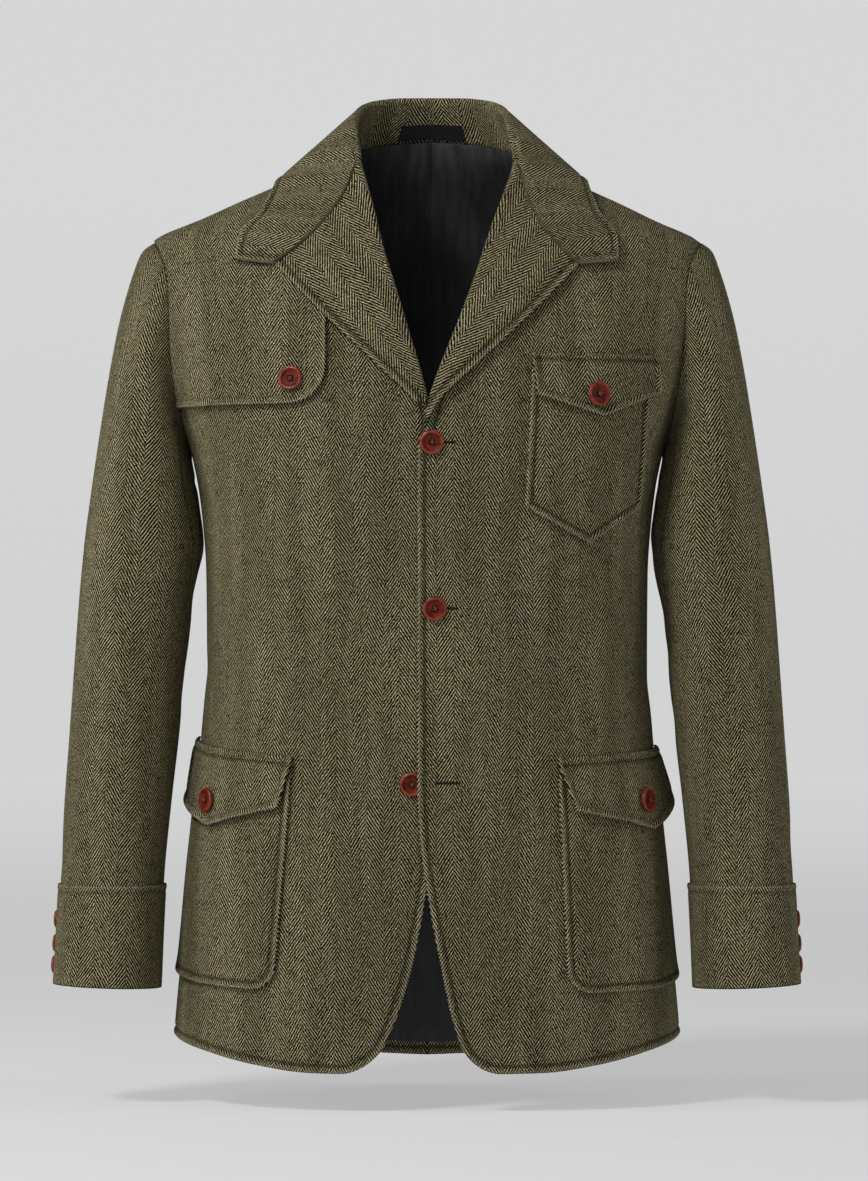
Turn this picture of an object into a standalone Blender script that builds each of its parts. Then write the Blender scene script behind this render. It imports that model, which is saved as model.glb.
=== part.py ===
"""A single-breasted tweed hacking jacket, filled out as if worn, with nobody in it.

Every cloth piece is a thin closed wall. The body pieces are laid out on one torso surface, which is a
stack of rounded sections, and the sleeves on a tube that starts at the armhole. Whatever lies on a
panel, such as a pocket or the gun patch, uses that panel's own surface, moved outwards.

Lengths are millimetres until a mesh is made, and angles are degrees. +X is the wearer's left, -Y the
front and +Z up. The origin is the middle of the neck opening, level with the shoulder seams there.
Angles round the body run from 0 at the centre front to 90 at the side and 180 at the centre back.
A place "across" is measured from the centre line towards the piece's own side.
"""

import math
from collections import namedtuple
from functools import lru_cache

import bmesh
import bpy
from mathutils import Vector

MM = 0.001
LEFT, RIGHT = 1, -1
SIDE_NAMES = {LEFT: "left", RIGHT: "right"}

# Thicknesses, and the spaces between pieces
CLOTH = 2.0  # tweed with its interlining
PATCH_CLOTH = 1.8  # pockets, flaps and the gun patch
TURNED_CLOTH = 2.4  # lapels and collar: two layers and canvas
LINING_CLOTH = 0.8
LABEL_CLOTH = 0.6
SEAM = 0.3
ROLL_SEAM = 0.5  # where a front ends and its lapel begins to turn, hidden in the roll
PATCH_SEAM = 0.5  # under patches, which curve with the panel
POCKET_SEAM = 0.7  # under the lower pockets, which reach round the side
FOLD_RADIUS = 2.5  # middle of the cloth, where lapel and collar turn over
LAPEL_HEIGHT = 2 * FOLD_RADIUS  # middle of the lapel above the middle of the front
PATCH_HEIGHT = CLOTH / 2 + PATCH_SEAM + PATCH_CLOTH / 2
POCKET_HEIGHT = CLOTH / 2 + POCKET_SEAM + PATCH_CLOTH / 2
LINING_DEPTH = CLOTH / 2 + SEAM + LINING_CLOTH / 2
CUFF_HEIGHT = CLOTH + SEAM

# The body: half its width, then how far back its front, back and widest point lie
BodySection = namedtuple("BodySection", "z half_width front back side power")
BODY = (
    BodySection(-790, 212.0, -139, 131, 0, 2.4),
    BodySection(-730, 209.0, -138, 129, 0, 2.4),
    BodySection(-693, 206.0, -137, 127, 0, 2.4),
    BodySection(-643, 201.0, -136, 124, 0, 2.4),
    BodySection(-581, 195.0, -133, 119, 0, 2.4),
    BodySection(-531, 190.0, -130, 112, 0, 2.4),
    BodySection(-481, 186.5, -127, 104, 0, 2.4),
    BodySection(-407, 181.5, -124, 97, 0, 2.4),
    BodySection(-344, 182.0, -128, 101, 0, 2.4),
    BodySection(-300, 185.0, -133, 110, 1, 2.4),
    BodySection(-245, 194.0, -138, 122, 3, 2.45),
    BodySection(-205, 207.5, -136, 128, 5, 2.45),
    BodySection(-160, 221.5, -127, 128, 7, 2.35),
    BodySection(-126, 229.5, -117, 122, 9, 2.25),
    BodySection(-100, 232.0, -108, 114, 10, 2.15),
    BodySection(-82, 231.5, -101, 106, 10, 2.05),
    BodySection(-70, 227.0, -97, 100, 10, 2.0),
    BodySection(-50, 185.5, -90, 92, 10, 1.95),
    BodySection(-35, 153.5, -84, 85, 10, 1.95),
    BodySection(-20, 118.5, -78, 78, 9, 1.95),
    BodySection(-8, 90.0, -73, 72, 8, 2.0),
    BodySection(0, 77.5, -69, 68, 7, 2.0),
    BodySection(12, 73.5, -65, 65, 6, 2.0),
    BodySection(30, 71.0, -60, 62, 5, 2.0),
)

# Armholes, on the body's surface
ARMHOLE_TOP, ARMHOLE_BOTTOM = -69, -236
ARMHOLE_MIDDLE_TOP, ARMHOLE_MIDDLE_BOTTOM = 10, 20
ARMHOLE_FRONT, ARMHOLE_BACK = 63, 62
ARMHOLE_POWER = 2.3
ARMHOLE_STEPS = 8  # from the top to the bottom, on either edge

# The hem's height at the centre front, and how far hem and neckline lift round the body
HEM_Z = -748
HEM_LIFT_ENDS = -600
NECK_LIFT_STARTS = -60
Lift = namedtuple("Lift", "angle lift")
HEM_LIFT = (
    Lift(0, 0),
    Lift(22, 0.8),
    Lift(37, 6),
    Lift(57, 15.5),
    Lift(72, 21),
    Lift(85, 24.5),
    Lift(95, 25),
    Lift(115, 20),
    Lift(145, 4),
    Lift(180, -4),
)
NECK_LIFT = (Lift(0, -8), Lift(46, -8), Lift(90, 0), Lift(120, 9), Lift(150, 17), Lift(180, 20))

# A front's edge, and above the break its roll line
Edge = namedtuple("Edge", "z across")
FRONT_EDGE = (
    Edge(-790, 52),
    Edge(-748, 38.5),
    Edge(-729, 32),
    Edge(-700, 21.5),
    Edge(-656, 10.5),
    Edge(-603, 0.5),
    Edge(-566, -4.8),
    Edge(-518, -7.6),
    Edge(-243, -7.6),
    Edge(-230, -2.6),
    Edge(-200, 4.4),
    Edge(-134, 26.5),
    Edge(-93, 40),
    Edge(-52, 52),
    Edge(-17, 62.5),
    Edge(-8, 64.5),
    Edge(10, 65),
)
BREAK_Z, GORGE_Z = -243, -7.3
CORNER_RADIUS = 27

# The worn jacket leans to the wearer's left: the whole neck, and then the fronts' edges
NECK_SHIFT, NECK_SHIFT_STARTS, NECK_SHIFT_FULL = 4, -90, -10
Lean = namedtuple("Lean", "z lean")
EDGE_LEAN = (
    Lean(-748, -5),
    Lean(-700, -2),
    Lean(-650, 0),
    Lean(BREAK_Z, 0),
    Lean(-197, 1.7),
    Lean(-92, 5.5),
    Lean(GORGE_Z, 4.5),
)

# Where the fronts lap, the left one lies outside the right one
LAP = (CLOTH + SEAM) / 2
LAP_FULL, LAP_NONE = 15, 55  # distances from the centre line
LAP_FADE_STARTS, LAP_FADE_ENDS = -190, -110

# The lapel's outer edge from the break to the notch, and the bend of its gorge seam
Place = namedtuple("Place", "across z")
LAPEL_EDGE = (
    Place(-3, -231),
    Place(7, -209),
    Place(40, -176),
    Place(82, -136),
    Place(123, -93),
)
GORGE_BEND = Place(-11, -2)
LAPEL_ROWS = 11
LAPEL_STARTS = {LEFT: 0.09, RIGHT: 0.2}  # shares of its length
LAPEL_SWELL = 2.0
NOTCH = 0.72  # share of the collar's end where the lapel stops

# Half of the collar, from the gorge to the centre back: its turn's centre, then its edge on the body
CollarSection = namedtuple("CollarSection", "share turn_x turn_y turn_z edge_angle edge_z")
COLLAR = (
    CollarSection(0.00, 64.6, -54, -8, 41, -90),
    CollarSection(0.10, 65.0, -45, 4, 43, -66),
    CollarSection(0.22, 65.0, -30, 19, 51, -44),
    CollarSection(0.36, 63.5, -8, 33, 64, -30),
    CollarSection(0.52, 58.0, 18, 43, 94, -20),
    CollarSection(0.68, 46.0, 38, 49, 128, -15),
    CollarSection(0.84, 25.0, 51, 52, 155, -13),
    CollarSection(1.00, 0.0, 56, 52.5, 180, -12),
)
COLLAR_STEPS = 14  # for one half
COLLAR_FREE = 0.3  # share past which neither the gorge nor the roll line shapes it
COLLAR_HEIGHT = 6.6  # middle of its fall above the middle of the panels
NECK_CLEARED, NECK_FADE = 2, 14  # above the neck opening the fall keeps clear this far, then less and less
COLLAR_TIP = Place(154, -90)
TURN_STEPS = 3
FALL_SHARES = (0.18, 0.36, 0.54, NOTCH, 0.86, 1.0)
STAND_SHORTEST = 1.5

# Sleeves: their outer and inner lines seen from the front, and their depth about a middle line
SleeveSection = namedtuple("SleeveSection", "at outer_x outer_z inner_x inner_z middle front back")
SLEEVE = (
    SleeveSection(0, 228.0, -69, 196.5, -236, 15, 63, 62),
    SleeveSection(0.4, 237.0, -76, 197.0, -238, 14, 65, 64),
    SleeveSection(1, 243.5, -92, 197.5, -241, 13, 67, 66),
    SleeveSection(2, 253.5, -128, 197.0, -247, 11, 70, 70),
    SleeveSection(3, 262.5, -175, 195.5, -255, 9, 73, 72),
    SleeveSection(4, 270.0, -222, 193.0, -267, 7, 74, 72),
    SleeveSection(5, 277.0, -270, 189.8, -289, 5, 72, 70),
    SleeveSection(6, 283.5, -320, 186.4, -320, 2, 69, 67),
    SleeveSection(7, 288.0, -372, 195.5, -372, -2, 65, 63),
    SleeveSection(8, 291.5, -425, 201.0, -425, -8, 61, 59),
    SleeveSection(9, 295.0, -480, 206.5, -480, -15, 57, 55),
    SleeveSection(10, 298.5, -535, 212.5, -535, -23, 54, 52),
    SleeveSection(11, 300.5, -590, 217.5, -590, -31, 51, 50),
    SleeveSection(12, 302.5, -640, 220.0, -640, -38, 49, 48),
    SleeveSection(13, 304.5, -680, 221.5, -683, -44, 48, 47),
)
SLEEVE_END = SLEEVE[-1].at
SLEEVE_POWER = 2.2
SLEEVE_FREE = 3  # from this section on the armhole no longer shapes it
SLEEVE_TWIST = 62  # turn of its seams from there to the wrist
COLUMN = 180 / ARMHOLE_STEPS  # one column; 0 is the outer line, 90 the front, 180 the inner line
COLUMNS_ROUND = 2 * ARMHOLE_STEPS
UNDER_SEAMS = (6, 11)  # columns of the seams either side of the under sleeve
CUFF_STARTS = 11.16
SLEEVE_ROWS = (0, 0.4, 1, 2, 3, 4, 5, 6, 7, 8, 9, 10, 10.7, CUFF_STARTS, 11.85, 12.4, SLEEVE_END)

# Gun patch
PATCH_FRONT, PATCH_LOW, PATCH_TOP, PATCH_CORNER = 81, -206, -8, 30
PATCH_LOW_ROWS = (0, 2.5, 8, 17, 30)  # heights above its lower edge
PATCH_INSET = 3.0  # from the armhole seam
PATCH_BUNCH = 0.4  # angle between its columns where the rounded corner crowds them

# Patch pockets and flaps are five-sided. The lower ones reach round the side, so theirs are angles
FiveCorners = namedtuple("FiveCorners", "top_front low_front point low_back top_back")
BREAST_POCKET = FiveCorners((84.5, -178), (78.5, -289), (130, -319), (172, -289), (181, -178))
BREAST_FLAP = FiveCorners((84, -170), (87.2, -199), (140, -215.5), (186, -195), (186, -170))
POCKETS = {
    LEFT: FiveCorners((30, -507), (29.3, -684), (62, -683), (94, -676), (94, -503)),
    RIGHT: FiveCorners((31.2, -507), (32.8, -681), (62, -678), (94, -671), (94, -499)),
}
POCKET_FLAPS = {
    LEFT: FiveCorners((29.8, -499), (34.4, -537), (65, -553.5), (95.5, -527), (95.5, -492)),
    RIGHT: FiveCorners((30.9, -498), (34.4, -534), (61, -550), (95.5, -525), (95.5, -485)),
}
Corner = namedtuple("Corner", "across z")
POCKET_CORNER, NO_CORNER = Corner(6.5, 20), Corner(0, 0)  # an angle and a height
POCKET_ROWS = (0, 0.015, 0.045, 0.115, 0.3, 0.5, 0.7, 0.85, 1)  # shares of its height
POCKET_COLUMNS, BREAST_COLUMNS = 10, 8
BREAST_ROWS, FLAP_ROWS = 6, 3
POCKET_SWELL, BREAST_SWELL, FLAP_SWELL = 2.5, 0.8, 1.0
FLAP_FLARE = {LEFT: 6.0, RIGHT: 2.5}  # at the back corner of a lower flap
FLARE_STARTS = 55
FLAP_LIFT = PATCH_CLOTH + 2 * SEAM  # a flap's middle above its pocket's

# Buttons
Button = namedtuple("Button", "radius thickness sides seat")  # its seat is above the smooth cloth
FRONT_BUTTON = Button(10.0, 3.6, 16, 0.5)
CUFF_BUTTON = Button(7.5, 3.0, 12, -0.1)
BUTTON_RIM, BUTTON_DISH, BUTTON_BEVEL = 0.28, 0.9, 0.6
FRONT_BUTTONS = (Place(4, -237.5), Place(6.5, -371.5))
LOWER_BUTTON = Place(-12, -514)
LOWER_BUTTON_LIFT, LOWER_BUTTON_SPREAD = 5.4, 26
PATCH_BUTTON, BREAST_BUTTON = Place(109, -186), Place(136, -198)
POCKET_BUTTON = Place(172.5, -529)
CUFF_BUTTONS = (11.75, 12.19, 12.63)
CUFF_BUTTON_COLUMN = -14

# Rows of the body panels, as levels
HEM_ROWS = (0, 3, 8, 17, 30, 58, 92, 127)  # above the hem
SKIRT_ROWS = (-590, -562, -537, -514, -491, -462, -425, -380, -335, -295, -262)
SHOULDER_ROWS = (-60, -47, -34, -22, -10, -0.4)
BACK_LOW_ROWS = (HEM_Z, HEM_Z + 30, HEM_Z + 92, -590, -537, -491, -425, -380, -335, -295, -262)
INNER_COLUMNS, OUTER_COLUMNS = 4, 9  # of a front, either side of the gun patch's front edge
BACK_COLUMNS = 8
LINING_FIRST_ROW = 1

LABEL_STEPS = 2  # half its width, in steps of the collar
LABEL_LOW, LABEL_HIGH = 0.08, 0.42  # shares of the stand

ANGLE_STEP, HEIGHT_STEP, SHARE_STEP = 0.6, 1.0, 0.02  # for measuring slopes
SHARP_ANGLE = 40

Finish = namedtuple("Finish", "colour roughness")
TWEED = Finish((0.084, 0.073, 0.045), 0.9)
LINING = Finish((0.009, 0.009, 0.009), 0.45)
BUTTON_HORN = Finish((0.16, 0.028, 0.018), 0.3)
LABEL_TAPE = Finish((0.012, 0.012, 0.014), 0.6)


# Curves


def through(places):
    """A smooth curve through (x, y) places, without overshoot, as a function of x."""
    xs, ys = zip(*sorted(places))
    slopes = [(ys[i + 1] - ys[i]) / (xs[i + 1] - xs[i]) for i in range(len(xs) - 1)]
    tangents = [slopes[0]]
    for before, after in zip(slopes, slopes[1:]):
        tangents.append(2 * before * after / (before + after) if before * after > 0 else 0)
    tangents.append(slopes[-1])

    def value(x):
        x = min(max(x, xs[0]), xs[-1])
        i = max(k for k in range(len(xs) - 1) if k == 0 or xs[k] <= x)
        width = xs[i + 1] - xs[i]
        t = (x - xs[i]) / width
        start = (1 + 2 * t) * (1 - t) ** 2 * ys[i] + t * (1 - t) ** 2 * width * tangents[i]
        end = t * t * (3 - 2 * t) * ys[i + 1] - t * t * (1 - t) * width * tangents[i + 1]
        return start + end

    return value


def curves(table):
    """A smooth curve for each column of a table, over its first column."""
    key, *names = table[0]._fields
    return [through([(getattr(row, key), getattr(row, name)) for row in table]) for name in names]


def ease(x):
    """0 below 0, 1 above 1, and smooth between."""
    x = min(max(x, 0.0), 1.0)
    return x * x * (3 - 2 * x)


def mix(start, end, share):
    return start + (end - start) * share


def steps(start, end, count):
    """Evenly spaced values from start to end, with count steps between them."""
    return [mix(start, end, i / count) for i in range(count + 1)]


def signed_power(value, power):
    return math.copysign(abs(value) ** power, value)


def rounding(distance, radius):
    """How far a rounded corner cuts in, that far from the edge that the corner ends."""
    left = max(radius - distance, 0.0)
    return radius - math.sqrt(radius**2 - left**2)


# The body's surface

BODY_CURVES = curves(BODY)
FRONT_EDGE_CURVE = through(FRONT_EDGE)
EDGE_LEAN_CURVE = through(EDGE_LEAN)
HEM_CURVE = through(HEM_LIFT)
NECK_CURVE = through(NECK_LIFT)
Spot = namedtuple("Spot", "point normal")


@lru_cache(maxsize=None)
def body_section(z):
    return BodySection(z, *(curve(z) for curve in BODY_CURVES))


def body_middle(angle, z):
    """The middle of the cloth on the wearer's left."""
    section = body_section(z)
    sine, cosine = math.sin(math.radians(angle)), math.cos(math.radians(angle))
    depth = section.front if cosine > 0 else section.back
    across = section.half_width * signed_power(sine, 2 / section.power)
    return Vector((across, mix(section.side, depth, abs(cosine) ** (2 / section.power)), z))


def angle_at_across(across, z):
    section = body_section(z)
    share = min(abs(across) / section.half_width, 1.0) ** (section.power / 2)
    return math.copysign(math.degrees(math.asin(share)), across)


def angle_at_depth(y, z):
    section = body_section(z)
    depth = section.front if y < section.side else section.back
    share = min((y - section.side) / (depth - section.side), 1.0) ** (section.power / 2)
    angle = math.degrees(math.acos(share))
    return angle if y < section.side else 180 - angle


def spread(start, end, count, z):
    """Angles from start to end that space the points evenly round the section."""
    power = body_section(z).power
    turns = []
    for angle in (start, end):
        sine = signed_power(math.sin(math.radians(angle)), 2 / power)
        turn = math.degrees(math.asin(sine))
        turns.append(turn if angle <= 90 else 180 - turn)
    angles = []
    for turn in steps(*turns, count):
        sine = signed_power(math.sin(math.radians(turn)), power / 2)
        angle = math.degrees(math.asin(sine))
        angles.append(angle if turn <= 90 else 180 - angle)
    return angles


def to_side(side, point):
    """A place on the wearer's left taken to its own side, with the neck's shift."""
    shift = NECK_SHIFT * ease((point.z - NECK_SHIFT_STARTS) / (NECK_SHIFT_FULL - NECK_SHIFT_STARTS))
    return Vector((side * point.x + shift, point.y, point.z))


def on_body(side, angle, z, out=0.0):
    """The spot that far outside the middle of the cloth."""
    across = body_middle(angle + ANGLE_STEP, z) - body_middle(angle - ANGLE_STEP, z)
    up = body_middle(angle, z + HEIGHT_STEP) - body_middle(angle, z - HEIGHT_STEP)
    normal = across.cross(up).normalized()
    point = to_side(side, body_middle(angle, z) + normal * out)
    return Spot(point, Vector((side * normal.x, normal.y, normal.z)))


def lap(side, across, z):
    """How far a front moves out of the body's surface, where the fronts lap."""
    near = 1 - ease((abs(across) - LAP_FULL) / (LAP_NONE - LAP_FULL))
    low = 1 - ease((z - LAP_FADE_STARTS) / (LAP_FADE_ENDS - LAP_FADE_STARTS))
    if side == RIGHT:
        return -LAP * near * low
    from_button = math.hypot(across - LOWER_BUTTON.across, z - LOWER_BUTTON.z)
    lift = LOWER_BUTTON_LIFT * math.exp(-((from_button / LOWER_BUTTON_SPREAD) ** 2))
    return LAP * near * low + lift


def on_front(side, angle, z, out=0.0):
    return on_body(side, angle, z, out + lap(side, body_middle(angle, z).x, z))


def at_front(side, across, z, out=0.0):
    return on_front(side, angle_at_across(across, z), z, out)


def height(level, angle):
    """A row's height: rows follow the hem at the bottom and the neckline at the top."""
    near_hem = 1 - ease((level - HEM_Z) / (HEM_LIFT_ENDS - HEM_Z))
    near_neck = ease((level - NECK_LIFT_STARTS) / -NECK_LIFT_STARTS)
    return level + HEM_CURVE(angle) * near_hem + NECK_CURVE(angle) * near_neck


# Armholes, and the panels' side edges


def armhole_place(turn):
    """Depth and height on the armhole's line; turn is 0 at the top and 90 at the front."""
    sine, cosine = math.sin(math.radians(turn)), math.cos(math.radians(turn))
    upper = (1 + signed_power(cosine, 2 / ARMHOLE_POWER)) / 2
    z = mix(ARMHOLE_BOTTOM, ARMHOLE_TOP, upper)
    return armhole_depth(upper, sine), z


def armhole_depth(upper, sine):
    middle = mix(ARMHOLE_MIDDLE_BOTTOM, ARMHOLE_MIDDLE_TOP, upper)
    width = ARMHOLE_FRONT if sine > 0 else ARMHOLE_BACK
    return middle - width * signed_power(sine, 2 / ARMHOLE_POWER)


def armhole_spot(turn):
    y, z = armhole_place(turn)
    return on_body(LEFT, angle_at_depth(y, z), z)


def side_depth(z, toward_back):
    """The depth where a panel ends: at the side seam, the armhole or the shoulder seam."""
    away = 1 if toward_back else -1
    if z >= ARMHOLE_TOP:
        return body_section(z).side + away * SEAM / 2
    if z <= ARMHOLE_BOTTOM:
        return ARMHOLE_MIDDLE_BOTTOM + away * SEAM / 2
    upper = (z - ARMHOLE_BOTTOM) / (ARMHOLE_TOP - ARMHOLE_BOTTOM)
    cosine = abs(2 * upper - 1) ** (ARMHOLE_POWER / 2)
    return armhole_depth(upper, -away * math.sqrt(1 - cosine**2)) + away * SEAM / 2


def side_angle(level, toward_back):
    z = height(level, 90)
    return angle_at_depth(side_depth(z, toward_back), z)


ARMHOLE_LEVELS = [armhole_place(180 - COLUMN * i)[1] for i in range(ARMHOLE_STEPS + 1)]
UPPER_LEVELS = ARMHOLE_LEVELS + list(SHOULDER_ROWS)
FRONT_LEVELS = [HEM_Z + row for row in HEM_ROWS] + list(SKIRT_ROWS) + UPPER_LEVELS
BACK_LEVELS = list(BACK_LOW_ROWS) + UPPER_LEVELS


# Making a piece


def finish(mesh, name, look):
    """Puts a mesh into the scene as a named object with its own material."""
    material = bpy.data.materials.new(name)
    material.use_nodes = True
    shader = material.node_tree.nodes["Principled BSDF"]
    shader.inputs["Base Color"].default_value = (*look.colour, 1.0)
    shader.inputs["Roughness"].default_value = look.roughness
    mesh.materials.append(material)
    mesh.shade_smooth()
    mesh.set_sharp_from_angle(angle=math.radians(SHARP_ANGLE))
    piece = bpy.data.objects.new(name, mesh)
    bpy.context.collection.objects.link(piece)
    return piece


def wall(name, spots, thickness, look):
    """A closed wall of cloth: a grid through the spots, extruded through its thickness."""
    flat = [spot for line in spots for spot in line]
    bm = bmesh.new()
    order = bm.verts.layers.int.new("order")
    bmesh.ops.create_grid(bm, x_segments=len(spots[0]) - 1, y_segments=len(spots) - 1, size=1)
    for i, vertex in enumerate(bm.verts):
        vertex[order] = i
        vertex.co = (flat[i].point + flat[i].normal * thickness / 2) * MM
    bmesh.ops.remove_doubles(bm, verts=bm.verts, dist=SEAM * MM / 10)
    bmesh.ops.triangulate(bm, faces=bm.faces, quad_method="FIXED")
    inner = bmesh.ops.extrude_face_region(bm, geom=bm.faces[:])["geom"]
    for vertex in (part for part in inner if isinstance(part, bmesh.types.BMVert)):
        vertex.co -= flat[vertex[order]].normal * thickness * MM
    bmesh.ops.recalc_face_normals(bm, faces=bm.faces)
    mesh = bpy.data.meshes.new(name)
    bm.to_mesh(mesh)
    bm.free()
    return finish(mesh, name, look)


# Fronts, backs and lining


def roll_across(side, z):
    """A front's edge; above the break, its roll line."""
    return FRONT_EDGE_CURVE(z) + side * EDGE_LEAN_CURVE(z)


def front_angles(side, level):
    """A front's columns: from its edge to the line of the gun patch's edge, and on to its side."""
    z = height(level, 0)
    across = roll_across(side, z) + rounding(level - HEM_Z, CORNER_RADIUS)
    if z > BREAK_Z:
        across += ROLL_SEAM
    edge = angle_at_across(across, z)
    side_edge = side_angle(level, False)
    middle = min(angle_at_across(PATCH_FRONT, z), (edge + side_edge) / 2)
    inner = spread(edge, middle, INNER_COLUMNS, z)
    return inner + spread(middle, side_edge, OUTER_COLUMNS, z)[1:]


def make_front(side):
    spots = []
    for level in FRONT_LEVELS:
        angles = front_angles(side, level)
        spots.append([on_front(side, angle, height(level, angle)) for angle in angles])
    wall(f"front_{SIDE_NAMES[side]}", spots, CLOTH, TWEED)


def back_spots(side, out, levels):
    spots = []
    for level in levels:
        z = height(level, 180)
        centre = 180 - angle_at_across(SEAM / 2, z)
        angles = spread(side_angle(level, True), centre, BACK_COLUMNS, z)
        spots.append([on_body(side, angle, height(level, angle), out) for angle in angles])
    return spots


def make_back(side):
    wall(f"back_{SIDE_NAMES[side]}", back_spots(side, 0, BACK_LEVELS), CLOTH, TWEED)
    lining = back_spots(side, -LINING_DEPTH, BACK_LEVELS[LINING_FIRST_ROW:])
    wall(f"lining_{SIDE_NAMES[side]}", lining, LINING_CLOTH, LINING)


# Lapels

EDGE_LENGTHS = [0.0]
for place, following in zip(LAPEL_EDGE, LAPEL_EDGE[1:]):
    EDGE_LENGTHS.append(EDGE_LENGTHS[-1] + math.dist(place, following))
EDGE_SHARES = [length / EDGE_LENGTHS[-1] for length in EDGE_LENGTHS]
LAPEL_EDGE_ACROSS = through([(share, place.across) for share, place in zip(EDGE_SHARES, LAPEL_EDGE)])
LAPEL_EDGE_Z = through([(share, place.z) for share, place in zip(EDGE_SHARES, LAPEL_EDGE)])


def turn_spots(centre, inward, outward):
    """The half turn over a fold, from the cloth's inner side to its outer side."""
    spots = []
    for turn in steps(0, math.pi, TURN_STEPS):
        radial = inward * math.sin(turn) - outward * math.cos(turn)
        spots.append(Spot(centre + radial * FOLD_RADIUS, radial))
    return spots


def roll_frame(side, z):
    """On the roll line: the centre of the turn, the way along it, over the fold and outwards."""
    spot = at_front(side, roll_across(side, z), z)
    above = at_front(side, roll_across(side, z + HEIGHT_STEP), z + HEIGHT_STEP)
    below = at_front(side, roll_across(side, z - HEIGHT_STEP), z - HEIGHT_STEP)
    along = (above.point - below.point).normalized()
    inward = side * spot.normal.cross(along).normalized()
    return spot.point + spot.normal * FOLD_RADIUS, along, inward, spot.normal


def fall_spot(side, share, reach):
    """On the lapel: share runs up the roll line, reach from the fold to the outer edge."""
    z = mix(BREAK_Z, GORGE_Z, share)
    fold = Vector((roll_across(side, z), z))
    edge = Vector((LAPEL_EDGE_ACROSS(share), LAPEL_EDGE_Z(share)))
    bend = Vector(GORGE_BEND) * 4 * reach * (1 - reach) * share**2
    across, z = mix(fold, edge, reach) + bend
    swell = LAPEL_SWELL * math.sin(math.pi * reach) * math.sin(math.pi * share)
    return at_front(side, across, z, LAPEL_HEIGHT + swell)


def gorge_row(side, shift):
    """Spots over the turn and down the gorge seam to the collar's tip, moved towards the collar."""
    centre, along, inward, outward = roll_frame(side, GORGE_Z)
    turn = turn_spots(centre, inward, outward)
    row = [Spot(spot.point + along * shift, spot.normal) for spot in turn]
    tip = at_front(side, COLLAR_TIP.across, COLLAR_TIP.z, COLLAR_HEIGHT)
    for share in FALL_SHARES:
        if share > NOTCH:
            row.append(Spot(mix(row[-1].point, tip.point, (share - NOTCH) / (1 - NOTCH)), tip.normal))
            continue
        spot = fall_spot(side, 1, share / NOTCH)
        before = fall_spot(side, 1, share / NOTCH - SHARE_STEP)
        away = side * spot.normal.cross(spot.point - before.point).normalized()
        row.append(Spot(spot.point + away * shift, spot.normal))
    return row


def make_lapel(side):
    rows = []
    for share in steps(LAPEL_STARTS[side], 1, LAPEL_ROWS)[:-1]:
        centre, _, inward, outward = roll_frame(side, mix(BREAK_Z, GORGE_Z, share))
        falls = [fall_spot(side, share, reach / NOTCH) for reach in FALL_SHARES if reach <= NOTCH]
        rows.append(turn_spots(centre, inward, outward) + falls)
    rows.append(gorge_row(side, -SEAM / 2)[: len(rows[0])])
    wall(f"lapel_{SIDE_NAMES[side]}", rows, TURNED_CLOTH, TWEED)


# Collar and label

COLLAR_CURVES = curves(COLLAR)


def collar_section(share):
    return CollarSection(share, *(curve(share) for curve in COLLAR_CURVES))


def collar_turn(side, share):
    """The centre of the collar's turn; near the gorge it follows the lapel's."""
    section = collar_section(share)
    first = COLLAR[0]
    centre = to_side(side, Vector((section.turn_x, section.turn_y, section.turn_z)))
    start = to_side(side, Vector((first.turn_x, first.turn_y, first.turn_z)))
    return centre + (roll_frame(side, GORGE_Z)[0] - start) * (1 - ease(share / COLLAR_FREE))


def clear_of_body(side, point, least):
    """Moves a point outwards until it is at least that far from the middle of the body's cloth."""
    section = body_section(point.z)
    own = side * (point - to_side(side, Vector((0, 0, point.z)))).x
    depth = section.front if point.y < section.side else section.back
    across = (max(own, 0) / section.half_width) ** (section.power / 2)
    forward = ((point.y - section.side) / (depth - section.side)) ** (section.power / 2)
    angle = math.degrees(math.atan2(across, forward if point.y < section.side else -forward))
    spot = on_body(side, angle, point.z)
    near_cloth = 1 - ease((point.z - height(0, angle) - NECK_CLEARED) / NECK_FADE)
    return point + spot.normal * max(least - spot.normal.dot(point - spot.point), 0) * near_cloth


def collar_row(side, share):
    """Spots up the stand, over the turn and down the fall."""
    section = collar_section(share)
    centre = collar_turn(side, share)
    if share == 1:
        along = Vector((-side, 0, 0))
    else:
        ahead, behind = (collar_turn(side, share + step) for step in (SHARE_STEP, -SHARE_STEP))
        along = (ahead - behind).normalized()
    own = abs(centre.x - to_side(side, Vector((0, 0, centre.z))).x)
    neck_angle = math.degrees(math.atan2(own, body_section(0).side - centre.y))
    foot = on_body(side, neck_angle, height(0, neck_angle))
    outward = (foot.normal - along * foot.normal.dot(along)).normalized()
    inward = side * outward.cross(along)
    turn = turn_spots(centre, inward, outward)
    if (turn[0].point - foot.point).length < STAND_SHORTEST:
        foot = Spot(turn[0].point - inward * STAND_SHORTEST, foot.normal)
    near_gorge = 1 - ease(share / COLLAR_FREE)
    gorge = [turn_spots(*(roll_frame(side, GORGE_Z)[i] for i in (0, 2, 3)))[-1]]
    gorge += gorge_row(side, SEAM / 2)[TURN_STEPS + 1 :]
    first = on_body(side, COLLAR[0].edge_angle, COLLAR[0].edge_z, COLLAR_HEIGHT).point
    edge = on_body(side, section.edge_angle, section.edge_z, COLLAR_HEIGHT).point
    edge += (gorge[-1].point - first) * near_gorge
    row = [Spot(foot.point, -outward)] + turn
    for i, reach in enumerate(FALL_SHARES):
        bend = gorge[i + 1].point - mix(gorge[0].point, gorge[-1].point, reach)
        point = mix(turn[-1].point, edge, reach) + bend * near_gorge
        row.append(Spot(clear_of_body(side, point, COLLAR_HEIGHT), outward))
    return row


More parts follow.
